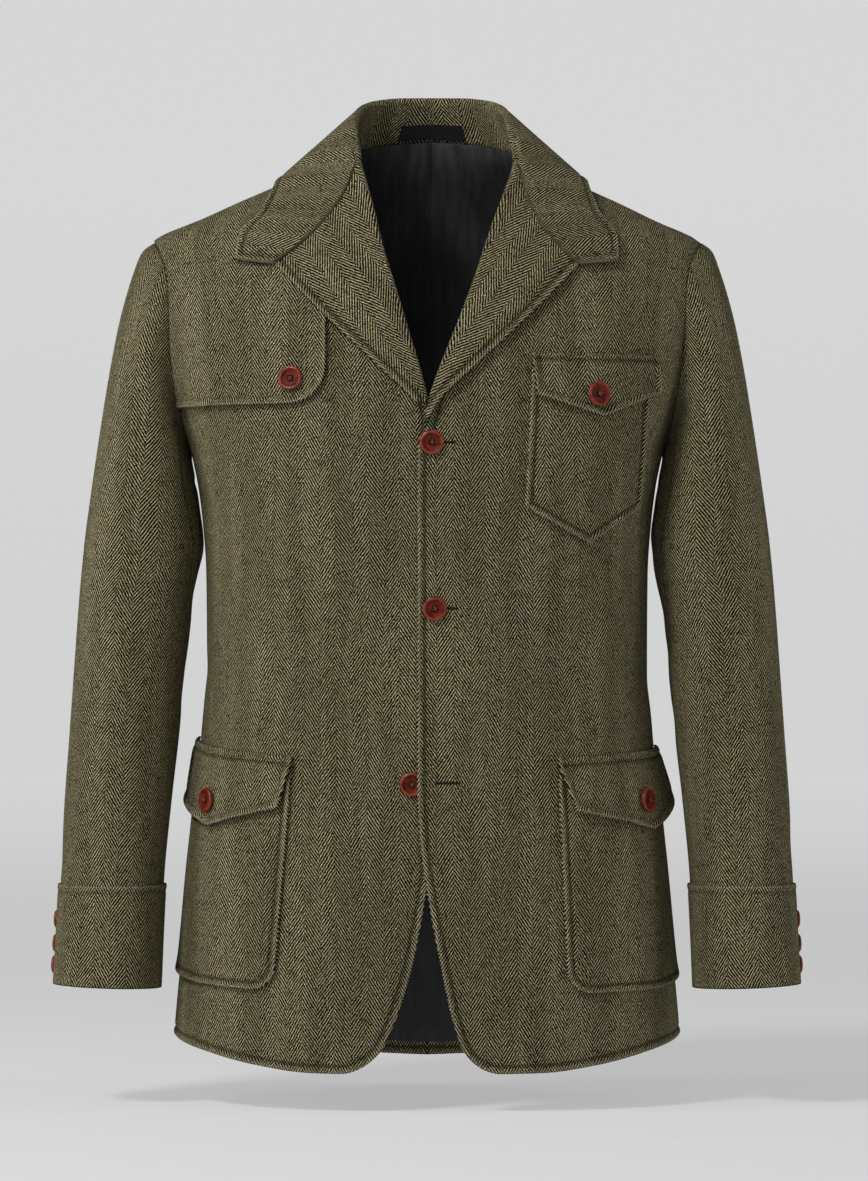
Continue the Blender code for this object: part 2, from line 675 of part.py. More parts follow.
def with_slopes(rows):
    """The same spots with normals from their neighbours, except in the first and last row."""
    result = [rows[0]]
    for below, row, above in zip(rows, rows[1:], rows[2:]):
        line = []
        for j, spot in enumerate(row):
            along = row[min(j + 1, len(row) - 1)].point - row[max(j - 1, 0)].point
            normal = (above[j].point - below[j].point).cross(along).normalized()
            line.append(Spot(spot.point, normal))
        result.append(line)
    return result + [rows[-1]]


def gorge_end(side):
    """The collar's first row, which lies along the gorge seam."""
    _, _, inward, outward = roll_frame(side, GORGE_Z)
    row = gorge_row(side, SEAM / 2)
    return [Spot(row[0].point - inward * STAND_SHORTEST, -outward)] + row


def make_collar():
    shares = steps(0, 1, COLLAR_STEPS)[1:]
    right = [gorge_end(RIGHT)] + [collar_row(RIGHT, share) for share in shares]
    left = [gorge_end(LEFT)] + [collar_row(LEFT, share) for share in shares[:-1]]
    rows = with_slopes(right + left[::-1])
    wall("collar", rows, TURNED_CLOTH, TWEED)
    behind = TURNED_CLOTH / 2 + PATCH_SEAM + LABEL_CLOTH / 2
    label = []
    for row in rows[COLLAR_STEPS - LABEL_STEPS : COLLAR_STEPS + LABEL_STEPS + 1]:
        low, high = (spot.point + spot.normal * behind for spot in row[:2])
        label.append([Spot(mix(low, high, share), row[0].normal) for share in (LABEL_LOW, LABEL_HIGH)])
    wall("label", label, LABEL_CLOTH, LABEL_TAPE)


# Sleeves and cuffs

SLEEVE_CURVES = curves(SLEEVE)


@lru_cache(maxsize=None)
def sleeve_section(at):
    return SleeveSection(at, *(curve(at) for curve in SLEEVE_CURVES))


def sleeve_ring(at, turn):
    """The sleeve's middle before the armhole shapes it, on the wearer's left."""
    section = sleeve_section(at)
    sine, cosine = math.sin(math.radians(turn)), math.cos(math.radians(turn))
    outer = Vector((section.outer_x, section.middle, section.outer_z))
    inner = Vector((section.inner_x, section.middle, section.inner_z))
    depth = section.front if sine > 0 else section.back
    point = mix(inner, outer, (1 + signed_power(cosine, 2 / SLEEVE_POWER)) / 2)
    return point - Vector((0, depth * signed_power(sine, 2 / SLEEVE_POWER), 0))


@lru_cache(maxsize=None)
def sleeve_start(turn):
    """The sleeve's first ring, hinged just off the outer corner of the panels' rims."""
    spot = armhole_spot(turn)
    along = (armhole_spot(turn + ANGLE_STEP).point - armhole_spot(turn - ANGLE_STEP).point).normalized()
    across = spot.normal.cross(along)
    way = sleeve_ring(1, turn) - sleeve_ring(0, turn)
    way = (way - along * way.dot(along)).normalized()
    own = along.cross(way)
    corner = spot.point + spot.normal * CLOTH / 2
    clear = (way + spot.normal * (1 - way.dot(across)) / 2) * SEAM
    return Spot(corner + clear - own * CLOTH / 2, own)


def sleeve_middle(at, turn):
    shaped = 1 - ease(at / SLEEVE_FREE)
    if shaped == 0:
        return sleeve_ring(at, turn)
    return sleeve_ring(at, turn) + (sleeve_start(turn).point - sleeve_ring(0, turn)) * shaped


def on_sleeve(side, at, turn, out=0.0):
    if at == 0:
        start = sleeve_start(turn)
        point, normal = start.point, start.normal
    else:
        around = sleeve_middle(at, turn + ANGLE_STEP) - sleeve_middle(at, turn - ANGLE_STEP)
        down = sleeve_middle(at + SHARE_STEP, turn) - sleeve_middle(at - SHARE_STEP, turn)
        point, normal = sleeve_middle(at, turn), around.cross(down).normalized()
    return Spot(to_side(side, point + normal * out), Vector((side * normal.x, normal.y, normal.z)))


def sleeve_spots(side, rows, first, last, inset, out):
    """Rows of spots between two of the sleeve's columns, which turn on the way to the wrist."""
    spots = []
    for at in rows:
        twist = SLEEVE_TWIST * ease((at - SLEEVE_FREE) / (SLEEVE_END - SLEEVE_FREE))
        turns = [COLUMN * column + twist for column in range(first, last + 1)]
        for end, facing in ((0, 1), (-1, -1)):
            after, before = (sleeve_middle(at, turns[end] + step) for step in (ANGLE_STEP, -ANGLE_STEP))
            turns[end] += facing * inset * 2 * ANGLE_STEP / (after - before).length
        spots.append([on_sleeve(side, at, turn, out) for turn in turns])
    return spots


def make_sleeve(side):
    front_seam, back_seam = UNDER_SEAMS
    under = sleeve_spots(side, SLEEVE_ROWS, front_seam, back_seam, SEAM / 2, 0)
    top = sleeve_spots(side, SLEEVE_ROWS, back_seam, front_seam + COLUMNS_ROUND, SEAM / 2, 0)
    cuff_rows = [at for at in SLEEVE_ROWS if at >= CUFF_STARTS]
    cuff = sleeve_spots(side, cuff_rows, 0, COLUMNS_ROUND, 0, CUFF_HEIGHT)
    wall(f"sleeve_under_{SIDE_NAMES[side]}", under, CLOTH, TWEED)
    wall(f"sleeve_top_{SIDE_NAMES[side]}", top, CLOTH, TWEED)
    wall(f"cuff_{SIDE_NAMES[side]}", cuff, CLOTH, TWEED)


# Gun patch, pockets and flaps


def make_gun_patch():
    """It covers the right shoulder, from the shoulder seam down, between the lapel and the armhole."""
    low_rows = [PATCH_LOW + row for row in PATCH_LOW_ROWS]
    spots = []
    for level in low_rows + [level for level in FRONT_LEVELS if low_rows[-1] < level < PATCH_TOP]:
        z = height(level, 0)
        front = angle_at_across(PATCH_FRONT + rounding(z - PATCH_LOW, PATCH_CORNER), z)
        z = height(level, 90)
        inset = PATCH_INSET if z < SHOULDER_ROWS[0] else SEAM
        angles = front_angles(RIGHT, level)[INNER_COLUMNS:]
        angles = [max(angle, front + i * PATCH_BUNCH) for i, angle in enumerate(angles)]
        angles[-1] = angle_at_depth(side_depth(z, False) - inset, z)
        spots.append([on_front(RIGHT, angle, height(level, angle), PATCH_HEIGHT) for angle in angles])
    wall("gun_patch", spots, PATCH_CLOTH, TWEED)


def dome(corners, across, z, amount):
    """A swell over a five-sided piece that is nothing at its edges and outside it."""
    shares = (
        (across - corners.low_front[0]) / (corners.low_back[0] - corners.low_front[0]),
        (z - corners.point[1]) / (corners.top_front[1] - corners.point[1]),
    )
    for share in shares:
        amount *= math.sin(math.pi * min(max(share, 0), 1))
    return amount


def five_sided(corners, columns, lines, corner, spot_at):
    """Rows of spots over a five-sided piece, whose lower edge comes to a point halfway."""
    top_front, low_front, point, low_back, top_back = (Vector(place) for place in corners)
    rows = []
    for up in lines:
        line = []
        for share in steps(0, 1, columns):
            top = mix(top_front, top_back, share)
            bottom = mix(low_front, point, 2 * share) if share <= 0.5 else mix(point, low_back, 2 * share - 1)
            place = mix(bottom, top, up)
            cut = corner.across / corner.z * rounding(place.y - bottom.y, corner.z) if corner.z else 0
            place.x += cut * (1 - 2 * share)
            line.append(spot_at(place.x, place.y))
        rows.append(line)
    return rows


def make_pocket(side):
    """A lower patch pocket and its flap, which reach round the side."""
    corners, flap = POCKETS[side], POCKET_FLAPS[side]

    def pocket_spot(angle, z):
        return on_body(side, angle, z, POCKET_HEIGHT + dome(corners, angle, z, POCKET_SWELL))

    def flap_spot(angle, z, out=0.0):
        swell = dome(corners, angle, z, POCKET_SWELL) + dome(flap, angle, z, FLAP_SWELL)
        back = ease((angle - FLARE_STARTS) / (flap.low_back[0] - FLARE_STARTS))
        low = ease((flap.top_back[1] - z) / (flap.top_back[1] - flap.low_back[1]))
        swell += FLAP_FLARE[side] * back * low
        return on_body(side, angle, z, POCKET_HEIGHT + FLAP_LIFT + swell + out)

    spots = five_sided(corners, POCKET_COLUMNS, POCKET_ROWS, POCKET_CORNER, pocket_spot)
    wall(f"pocket_{SIDE_NAMES[side]}", spots, PATCH_CLOTH, TWEED)
    spots = five_sided(flap, POCKET_COLUMNS, steps(0, 1, FLAP_ROWS), NO_CORNER, flap_spot)
    wall(f"pocket_flap_{SIDE_NAMES[side]}", spots, PATCH_CLOTH, TWEED)
    across, z = POCKET_BUTTON
    angle = angle_at_across(across, z)
    seat = flap_spot(angle, z, PATCH_CLOTH / 2)
    place_button(f"button_pocket_{SIDE_NAMES[side]}", FRONT_BUTTON, seat)


def make_breast_pocket():
    def pocket_spot(across, z):
        return at_front(LEFT, across, z, PATCH_HEIGHT + dome(BREAST_POCKET, across, z, BREAST_SWELL))

    def flap_out(across, z):
        swell = dome(BREAST_POCKET, across, z, BREAST_SWELL) + dome(BREAST_FLAP, across, z, FLAP_SWELL)
        return PATCH_HEIGHT + FLAP_LIFT + swell

    def flap_spot(across, z):
        return at_front(LEFT, across, z, flap_out(across, z))

    spots = five_sided(BREAST_POCKET, BREAST_COLUMNS, steps(0, 1, BREAST_ROWS), NO_CORNER, pocket_spot)
    wall("breast_pocket", spots, PATCH_CLOTH, TWEED)
    spots = five_sided(BREAST_FLAP, BREAST_COLUMNS, steps(0, 1, FLAP_ROWS), NO_CORNER, flap_spot)
    wall("breast_flap", spots, PATCH_CLOTH, TWEED)
    across, z = BREAST_BUTTON
    seat = at_front(LEFT, across, z, flap_out(across, z) + PATCH_CLOTH / 2)
    place_button("button_breast", FRONT_BUTTON, seat)


# Buttons


@lru_cache(maxsize=None)
def button_mesh(button):
    """A round button with a raised rim and a dished middle, its underside at height 0."""
    bm = bmesh.new()
    radius, thickness = button.radius * MM, button.thickness * MM
    bmesh.ops.create_cone(
        bm, cap_ends=True, segments=button.sides, radius1=radius, radius2=radius, depth=thickness
    )
    bmesh.ops.translate(bm, verts=bm.verts, vec=(0, 0, thickness / 2))
    top = max(bm.faces, key=lambda face: face.calc_center_median().z)
    rim = list(top.edges)
    bmesh.ops.inset_region(bm, faces=[top], thickness=radius * BUTTON_RIM)
    bmesh.ops.translate(bm, verts=top.verts, vec=(0, 0, -BUTTON_DISH * MM))
    bmesh.ops.bevel(
        bm, geom=rim, offset=BUTTON_BEVEL * MM, affect="EDGES", segments=1, profile=0.5, material=-1
    )
    mesh = bpy.data.meshes.new("button")
    bm.to_mesh(mesh)
    bm.free()
    return mesh


def place_button(name, button, seat):
    """Sews a button onto the cloth's outer face at a seat."""
    piece = finish(button_mesh(button).copy(), name, BUTTON_HORN)
    piece.rotation_euler = seat.normal.to_track_quat("Z", "Y").to_euler()
    piece.location = (seat.point + seat.normal * button.seat) * MM


def make_buttons():
    for number, place in enumerate(FRONT_BUTTONS, 1):
        place_button(f"button_front_{number}", FRONT_BUTTON, at_front(LEFT, *place, CLOTH / 2))
    hidden = at_front(RIGHT, -LOWER_BUTTON.across, LOWER_BUTTON.z, CLOTH / 2)
    place_button("button_front_3", FRONT_BUTTON, hidden)
    on_patch = at_front(RIGHT, *PATCH_BUTTON, PATCH_HEIGHT + PATCH_CLOTH / 2)
    place_button("button_patch", FRONT_BUTTON, on_patch)
    for side in (LEFT, RIGHT):
        for number, at in enumerate(CUFF_BUTTONS, 1):
            seat = on_sleeve(side, at, CUFF_BUTTON_COLUMN, CUFF_HEIGHT + CLOTH / 2)
            place_button(f"button_cuff_{SIDE_NAMES[side]}_{number}", CUFF_BUTTON, seat)


for old in list(bpy.data.objects):
    bpy.data.objects.remove(old)
for own_side in (LEFT, RIGHT):
    make_front(own_side)
    make_back(own_side)
    make_lapel(own_side)
    make_sleeve(own_side)
    make_pocket(own_side)
make_collar()
make_gun_patch()
make_breast_pocket()
make_buttons()
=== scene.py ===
import math

import bmesh
import bpy
import numpy as np
from mathutils import Matrix, Vector
from mathutils.bvhtree import BVHTree
from mathutils.kdtree import KDTree


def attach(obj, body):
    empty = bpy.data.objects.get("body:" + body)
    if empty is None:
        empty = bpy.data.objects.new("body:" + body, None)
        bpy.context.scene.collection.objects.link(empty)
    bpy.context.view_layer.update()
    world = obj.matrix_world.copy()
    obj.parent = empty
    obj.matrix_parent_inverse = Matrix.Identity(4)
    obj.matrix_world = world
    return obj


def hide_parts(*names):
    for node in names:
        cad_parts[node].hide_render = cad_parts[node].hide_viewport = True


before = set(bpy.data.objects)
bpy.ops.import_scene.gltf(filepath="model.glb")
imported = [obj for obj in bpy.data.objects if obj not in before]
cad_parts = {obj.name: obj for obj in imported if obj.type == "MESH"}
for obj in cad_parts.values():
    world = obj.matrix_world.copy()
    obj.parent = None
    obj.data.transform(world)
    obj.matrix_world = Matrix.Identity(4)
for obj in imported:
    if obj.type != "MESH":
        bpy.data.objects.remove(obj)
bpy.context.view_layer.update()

# Tables are in mm; angles round the body run from 0 at the front to 180 at the back
mm = 0.001
left, right = 1, -1
sideName = {left: "left", right: "right"}
thickness = dict(tweed=2.0, patch=1.8, turned=2.4, lining=0.8, label=0.6)
halfTweed, halfPatch = thickness["tweed"] / 2, thickness["patch"] / 2
seam = 0.3
meeting = -0.25  # cloth runs this far past a seam line, so that no light passes
neckEdge = -0.4  # the fronts and backs end this far below the neck seam
foldRadius = 2.5
# From the middle of a cloth to the middle of what lies on it
lapelHeight = 2 * foldRadius
patchHeight = halfTweed + 0.5 + halfPatch
pocketHeight = halfTweed + 0.7 + halfPatch
flapLift = 2 * halfPatch + 0.6
liningDepth = halfTweed + seam + thickness["lining"] / 2
cuffHeight = thickness["tweed"] + seam


# Curves and small sums


def curveThrough(places):
    xs, ys = (np.array(column, float) for column in zip(*sorted(places)))
    slopes = np.diff(ys) / np.diff(xs)
    before, after = slopes[:-1], slopes[1:]
    same = before * after > 0
    middle = np.where(same, 2 * before * after / np.where(same, before + after, 1), 0)
    tangents = np.concatenate([slopes[:1], middle, slopes[-1:]])

    def value(x):
        x = np.clip(x, xs[0], xs[-1])
        i = np.clip(np.searchsorted(xs, x, side="right") - 1, 0, len(xs) - 2)
        width = xs[i + 1] - xs[i]
        t = (x - xs[i]) / width
        start = (1 + 2 * t) * (1 - t) ** 2 * ys[i] + t * (1 - t) ** 2 * width * tangents[i]
        return start + t * t * (3 - 2 * t) * ys[i + 1] - t * t * (1 - t) * width * tangents[i + 1]

    return value


def columnCurves(table):
    return [curveThrough([(row[0], row[k]) for row in table]) for k in range(1, len(table[0]))]


def bell(distance, width):
    return np.exp(-((distance / width) ** 2))


def ease(x):
    x = np.clip(x, 0.0, 1.0)
    return x * x * (3 - 2 * x)


def mix(start, end, share):
    return start + (end - start) * share


def signedPower(value, power):
    return np.sign(value) * np.abs(value) ** power


def unit(vectors):
    return vectors / np.maximum(np.linalg.norm(vectors, axis=-1, keepdims=True), 1e-12)


def dot(a, b):
    return (a * b).sum(-1, keepdims=True)


def stack(*parts):
    return np.stack(np.broadcast_arrays(*parts), -1).astype(float)


def rounding(distance, radius):
    gone = np.clip(radius - distance, 0.0, radius)
    return radius - np.sqrt(radius**2 - gone**2)


def sineCosine(degrees):
    turn = np.radians(degrees)
    return np.sin(turn), np.cos(turn)


def alongRow(points):
    steps = np.linalg.norm(np.diff(points, axis=-2), axis=-1)
    return np.concatenate([np.zeros(steps.shape[:-1] + (1,)), np.cumsum(steps, axis=-1)], axis=-1)


def resampled(line, lengths, wanted):
    return np.stack([np.interp(wanted, lengths, column) for column in line.T], -1)


# The body's surface

body = dict(
    # z, half the width, front, back, depth of the widest point, power
    sections=[
        (-790, 212.0, -139, 131, 0, 2.4),
        (-730, 209.0, -138, 129, 0, 2.4),
        (-693, 206.0, -137, 127, 0, 2.4),
        (-643, 201.0, -136, 124, 0, 2.4),
        (-581, 195.0, -133, 119, 0, 2.4),
        (-531, 190.0, -130, 112, 0, 2.4),
        (-481, 186.5, -127, 104, 0, 2.4),
        (-407, 181.5, -124, 97, 0, 2.4),
        (-344, 182.0, -128, 101, 0, 2.4),
        (-300, 185.0, -133, 110, 1, 2.4),
        (-245, 194.0, -138, 122, 3, 2.45),
        (-205, 207.5, -136, 128, 5, 2.45),
        (-160, 221.5, -127, 128, 7, 2.35),
        (-126, 229.5, -117, 122, 9, 2.25),
        (-100, 232.0, -108, 114, 10, 2.15),
        (-82, 231.5, -101, 106, 10, 2.05),
        (-70, 227.0, -97, 100, 10, 2.0),
        (-50, 185.5, -90, 92, 10, 1.95),
        (-35, 153.5, -84, 85, 10, 1.95),
        (-20, 118.5, -78, 78, 9, 1.95),
        (-8, 90.0, -73, 72, 8, 2.0),
        (0, 77.5, -69, 68, 7, 2.0),
        (12, 73.5, -65, 65, 6, 2.0),
        (30, 71.0, -60, 62, 5, 2.0),
    ],
    armholeTop=-69, armholeBottom=-236, armholeMiddleTop=10, armholeMiddleBottom=20,
    armholeFront=63, armholeBack=62, armholePower=2.3,
    hem=-748, hemLiftEnds=-600, neckLiftStarts=-60,
    hemLift=[(0, 0), (22, 0.8), (37, 6), (57, 15.5), (72, 21), (85, 24.5), (95, 25), (115, 20),
             (145, 4), (180, -4)],
    neckLift=[(0, -8), (46, -8), (90, 0), (120, 9), (150, 17), (180, 20)],
    frontEdge=[(-790, 52), (-748, 38.5), (-729, 32), (-700, 21.5), (-656, 10.5), (-603, 0.5),
               (-566, -4.8), (-518, -7.6), (-243, -7.6), (-230, -2.6), (-200, 4.4), (-134, 26.5),
               (-93, 40), (-52, 52), (-17, 62.5), (-8, 64.5), (10, 65)],
    edgeLean=[(-748, -5), (-700, -2), (-650, 0), (-243, 0), (-197, 1.7), (-92, 5.5), (-7.3, 4.5)],
    breakZ=-243, gorgeZ=-7.3, cornerRadius=27,
    neckShift=4, neckShiftStarts=-90, neckShiftFull=-10,
    lap=1.15, lapFull=15, lapNone=55, lapFadeStarts=-190, lapFadeEnds=-110,
)
turnStep = 0.6  # degrees to each side over which a direction round a tube is measured
bodyCurves = columnCurves(body["sections"])
frontEdgeCurve = curveThrough(body["frontEdge"])
edgeLeanCurve = curveThrough(body["edgeLean"])
hemCurve = curveThrough(body["hemLift"])
neckCurve = curveThrough(body["neckLift"])

# Soft troughs and ridges of the worn body: side (0 for both), from and to (angle, z), width, depth
creases = [
    (0, (84, -268), (58, -318), 13, 1.6),
    (0, (96, -262), (112, -330), 15, 1.8),
    (left, (20, -262), (52, -300), 14, 0.9),
    (right, (22, -258), (60, -312), 15, 1.1),
    (left, (14, -392), (48, -408), 12, 0.9),
    (right, (16, -386), (56, -398), 13, 1.0),
    (left, (60, -420), (96, -440), 14, 1.3),
    (right, (64, -408), (98, -432), 13, 1.2),
    (left, (110, -395), (150, -410), 16, 1.5),
    (right, (108, -402), (148, -388), 16, 1.4),
    (left, (112, -640), (118, -765), 22, -2.2),
    (right, (116, -630), (121, -765), 24, -2.0),
    (left, (146, -600), (149, -765), 24, 1.8),
    (right, (143, -610), (147, -765), 22, 1.6),
    (left, (14, -640), (20, -765), 20, -1.0),
    (right, (17, -630), (22, -765), 22, -1.2),
    (0, (134, -120), (118, -215), 18, 1.8),
    (0, (152, -300), (138, -240), 17, 1.2),
]


def bodyMiddle(angle, z):
    half, front, back, side, power = (curve(z) for curve in bodyCurves)
    sine, cosine = sineCosine(angle)
    depth = np.where(cosine > 0, front, back)
    across = half * signedPower(sine, 2 / power)
    return stack(across, mix(side, depth, np.abs(cosine) ** (2 / power)), z)


def angleAtAcross(across, z):
    half, _, _, _, power = (curve(z) for curve in bodyCurves)
    share = np.minimum(np.abs(across) / half, 1.0) ** (power / 2)
    return np.sign(across) * np.degrees(np.arcsin(share))


def angleAtDepth(y, z):
    _, front, back, side, power = (curve(z) for curve in bodyCurves)
    depth = np.where(y < side, front, back)
    share = np.clip((y - side) / (depth - side), 0, 1) ** (power / 2)
    angle = np.degrees(np.arccos(share))
    return np.where(y < side, angle, 180 - angle)


def toSide(side, points):
    starts, full = body["neckShiftStarts"], body["neckShiftFull"]
    high = ease((points[..., 2] - starts) / (full - starts))
    return stack(side * points[..., 0] + body["neckShift"] * high, points[..., 1], points[..., 2])


creaseLines = []
for whose, start, end, width, depth in creases:
    ends = [bodyMiddle(np.array(place[0]), np.array(place[1])) for place in (start, end)]
    creaseLines.append((whose, ends[0], ends[1], width, depth))


def creaseAt(side, points):
    total = np.zeros(points.shape[:-1])
    for whose, start, end, width, depth in creaseLines:
        if whose not in (0, side):
            continue
        along = end - start
        share = np.clip((points - start) @ along / (along @ along), 0, 1)
        away = np.linalg.norm(points - start - share[..., None] * along, axis=-1)
        swell = 0.35 + 0.65 * np.sin(np.pi * np.clip(share, 0.02, 0.98))
        total -= depth * swell * bell(away, width)
    return total


def onBody(side, angle, z, out=0.0):
    angle, z = np.broadcast_arrays(np.asarray(angle, float), np.asarray(z, float))
    across = bodyMiddle(angle + turnStep, z) - bodyMiddle(angle - turnStep, z)
    up = bodyMiddle(angle, z + 1) - bodyMiddle(angle, z - 1)
    normal = unit(np.cross(across, up))
    middle = bodyMiddle(angle, z)
    moved = np.asarray(out + creaseAt(side, middle))[..., None]
    return toSide(side, middle + normal * moved), normal * np.array([side, 1, 1])


# The left front swells over the third button, which is on the right front
lowerButton = dict(across=-12, z=-514, lift=5.4, spread=26)


def lapAt(side, across, z):
    near = 1 - ease((np.abs(across) - body["lapFull"]) / (body["lapNone"] - body["lapFull"]))
    low = 1 - ease((z - body["lapFadeStarts"]) / (body["lapFadeEnds"] - body["lapFadeStarts"]))
    if side == right:
        return -body["lap"] * near * low
    away = np.hypot(across - lowerButton["across"], z - lowerButton["z"])
    return body["lap"] * near * low + lowerButton["lift"] * bell(away, lowerButton["spread"])


def onFront(side, angle, z, out=0.0):
    return onBody(side, angle, z, out + lapAt(side, bodyMiddle(angle, z)[..., 0], z))


def atFront(side, across, z, out=0.0):
    return onFront(side, angleAtAcross(across, z), z, out)


def heightAt(level, angle):
    nearHem = 1 - ease((level - body["hem"]) / (body["hemLiftEnds"] - body["hem"]))
    nearNeck = ease((level - body["neckLiftStarts"]) / -body["neckLiftStarts"])
    return level + hemCurve(angle) * nearHem + neckCurve(angle) * nearNeck


def armholeDepth(upper, sine):
    middle = mix(body["armholeMiddleBottom"], body["armholeMiddleTop"], upper)
    width = np.where(sine > 0, body["armholeFront"], body["armholeBack"])
    return middle - width * signedPower(sine, 2 / body["armholePower"])


def armholeSpot(turn):
    sine, cosine = sineCosine(turn)
    upper = (1 + signedPower(cosine, 2 / body["armholePower"])) / 2
    z = mix(body["armholeBottom"], body["armholeTop"], upper)
    return onBody(left, angleAtDepth(armholeDepth(upper, sine), z), z)


def sideDepth(z, towardBack):
    away = 1 if towardBack else -1
    upper = np.clip((z - body["armholeBottom"]) / (body["armholeTop"] - body["armholeBottom"]), 0, 1)
    cosine = np.abs(2 * upper - 1) ** (body["armholePower"] / 2)
    depth = armholeDepth(upper, -away * np.sqrt(1 - cosine**2))
    depth = np.where(z >= body["armholeTop"], bodyCurves[3](z), depth)
    depth = np.where(z <= body["armholeBottom"], body["armholeMiddleBottom"], depth)
    return depth + away * meeting


def sideAngle(level, towardBack):
    z = heightAt(level, 90)
    return angleAtDepth(sideDepth(z, towardBack), z)


def rollAcross(side, z):
    return frontEdgeCurve(z) + side * edgeLeanCurve(z)


# A piece is laid out in rows of places, closer together beside its edges

# Distances from an edge: one that is stitched, one that is seamed and one that is turned over
fine = np.array([0, 0.4, 1.1, 2.2, 3.6, 4.9, 6.0, 7.1, 8.6, 10.6])
plain = np.array([0, 0.4, 1.1, 2.4])
hidden = np.array([0.0])


def spaced(length, near, far, count):
    scale = min(1.0, 0.45 * length / max(near[-1] + far[-1], 1e-6))
    near, far = near * scale, far * scale
    inner = np.linspace(near[-1], length - far[-1], count + 1)[1:-1]
    return np.concatenate([near, inner, (length - far)[::-1]])


def rowPlaces(placeAt, start, end, near, far, count, samples=90):
    ts = np.linspace(start, end, samples)
    lengths = alongRow(placeAt(ts))
    return np.interp(spaced(lengths[-1], near, far, count), lengths, ts)


def evenTurn(angle, power):
    sine = signedPower(np.sin(np.radians(angle)), 2 / power)
    turn = np.degrees(np.arcsin(np.clip(sine, -1, 1)))
    return np.where(angle <= 90, turn, 180 - turn)


def angleOfTurn(turn, power):
    angle = np.degrees(np.arcsin(signedPower(np.sin(np.radians(turn)), power / 2)))
    return np.where(turn <= 90, angle, 180 - angle)


def panelAngles(levels, startAngle, endAngle, near, far, count):
    rows = []
    for level in levels:
        power = bodyCurves[4](heightAt(level, 90.0))
        ends = [evenTurn(float(angle(level)), power) for angle in (startAngle, endAngle)]

        def placeAt(turn):
            angle = angleOfTurn(turn, power)
            return bodyMiddle(angle, heightAt(level, angle))

        rows.append(angleOfTurn(rowPlaces(placeAt, *ends, near, far, count), power))
    return np.array(rows)


def levelsBetween(*parts):
    levels = np.concatenate([np.asarray(part, float) for part in parts])
    return np.unique(np.round(levels, 3))


def steppedLevels(start, end, step):
    return np.linspace(start, end, max(int(round(abs(end - start) / step)), 1) + 1)


# A piece of cloth is made from its places


def weaveFrom(points, normals, uStart=0.0, fromEnd=False):
    # crosswise along each row, lengthwise down the cloth's own slope
    u = alongRow(points)
    u = u - u[:, -1:] if fromEnd else u
    slope = np.sqrt(np.clip(1 - normals[..., 2] ** 2, 0.12, 1))
    steps = np.diff(points[..., 2], axis=0) / ((slope[1:] + slope[:-1]) / 2)
    v = np.concatenate([np.zeros((1, points.shape[1])), np.cumsum(steps, axis=0)])
    return stack(u + np.reshape(uStart, (-1, 1)), v + points[:1, :, 2])


roundHeights, roundAngles = np.linspace(-790, -5, 80), np.linspace(0, 180, 181)
roundTable = alongRow(bodyMiddle(roundAngles[None], roundHeights[:, None]))


def between(table, i, j):
    i, j = np.clip(i, 0, table.shape[0] - 1.001), np.clip(j, 0, table.shape[1] - 1.001)
    a, b = i.astype(int), j.astype(int)
    low, high = (mix(table[row, b], table[row, b + 1], j - b) for row in (a, a + 1))
    return mix(low, high, i - a)


def bodyWeave(angle, z, shift):
    # crosswise round the body, lengthwise up it
    step = roundHeights[1] - roundHeights[0]
    return stack(between(roundTable, (z - roundHeights[0]) / step, angle + 0 * z) + shift, z)


def fromEdge(grid, edge):
    # the rows of a piece, counted inwards from one of its edges
    grid = np.swapaxes(grid, 0, 1) if edge in ("start", "end") else grid
    return grid[::-1] if edge in ("high", "end") else grid


def edgeParts(edge):
    # an edge may be given with the place in its row from which it counts
    return (edge, 0) if isinstance(edge, str) else edge


def borderOf(points, edges):
    return [fromEdge(points, name)[0][first:] for name, first in map(edgeParts, edges)]


def densely(line, step=0.5):
    lengths = alongRow(line)
    return resampled(line, lengths, np.linspace(0, lengths[-1], max(int(lengths[-1] / step), 2)))


def placesTree(lines):
    places = np.concatenate([densely(line) for line in lines])
    tree = KDTree(len(places))
    for i, place in enumerate(places):
        tree.insert(place, i)
    tree.balance()
    return tree


def distanceTo(points, lines, reach=60.0):
    if not lines:
        return np.full(points.shape[:2], reach)
    tree = placesTree(lines)
    found = [tree.find(place)[2] for place in points.reshape(-1, 3)]
    return np.array(found).reshape(points.shape[:2])


def shownArea(points):
    a, b, c, d = points[:-1, :-1], points[:-1, 1:], points[1:, 1:], points[1:, :-1]
    return float((np.linalg.norm(np.cross(c - a, d - b), axis=-1) / 2).sum()) * mm * mm


edgeNames = ("low", "high", "start", "end")
edgeLook = dict(
    rim=1.1, rimLeast=0.35, freeRise=0.8,  # how an edge is rounded, and how thin it ends
    inset=6.0, groove=0.9, grooveWidth=1.5,  # the sunk line of stitches
    puff=0.5, puffPlace=2.4, puffWidth=2.3,  # the ridge outside that line
    liftWidth=4.5, settleWidth=9.0,  # how wide a loose edge lifts, and where unsewn ends hold it down
    # seamShade paints shade along every edge and seam, foldShade paints it in folds; the wear keys place
    # wear with a painted highlight on the raised rim
    seamDip=0.4, seamShade=0.8, seamShadeWidth=1.2,
    fold=0.8, foldWidth=1.0, foldShade=0.85,
    wearHighlightPlace=1.2, wearHighlightWidth=1.1, stitch=3.3, thread=0.28,
)
stitchLines = []


def thinShell(outer, inner):
    rows, columns = outer.shape[:2]
    bm = bmesh.new()
    order = bm.verts.layers.int.new("order")
    bmesh.ops.create_grid(bm, x_segments=columns - 1, y_segments=rows - 1, size=1)
    outer, inner = outer.reshape(-1, 3) * mm, inner.reshape(-1, 3) * mm
    for i, vertex in enumerate(bm.verts):
        vertex[order] = i
        vertex.co = outer[i]
    made = bmesh.ops.extrude_face_region(bm, geom=bm.faces[:])["geom"]
    for vertex in made:
        if isinstance(vertex, bmesh.types.BMVert):
            vertex.co = inner[vertex[order]]
    bmesh.ops.recalc_face_normals(bm, faces=bm.faces)
    return bm


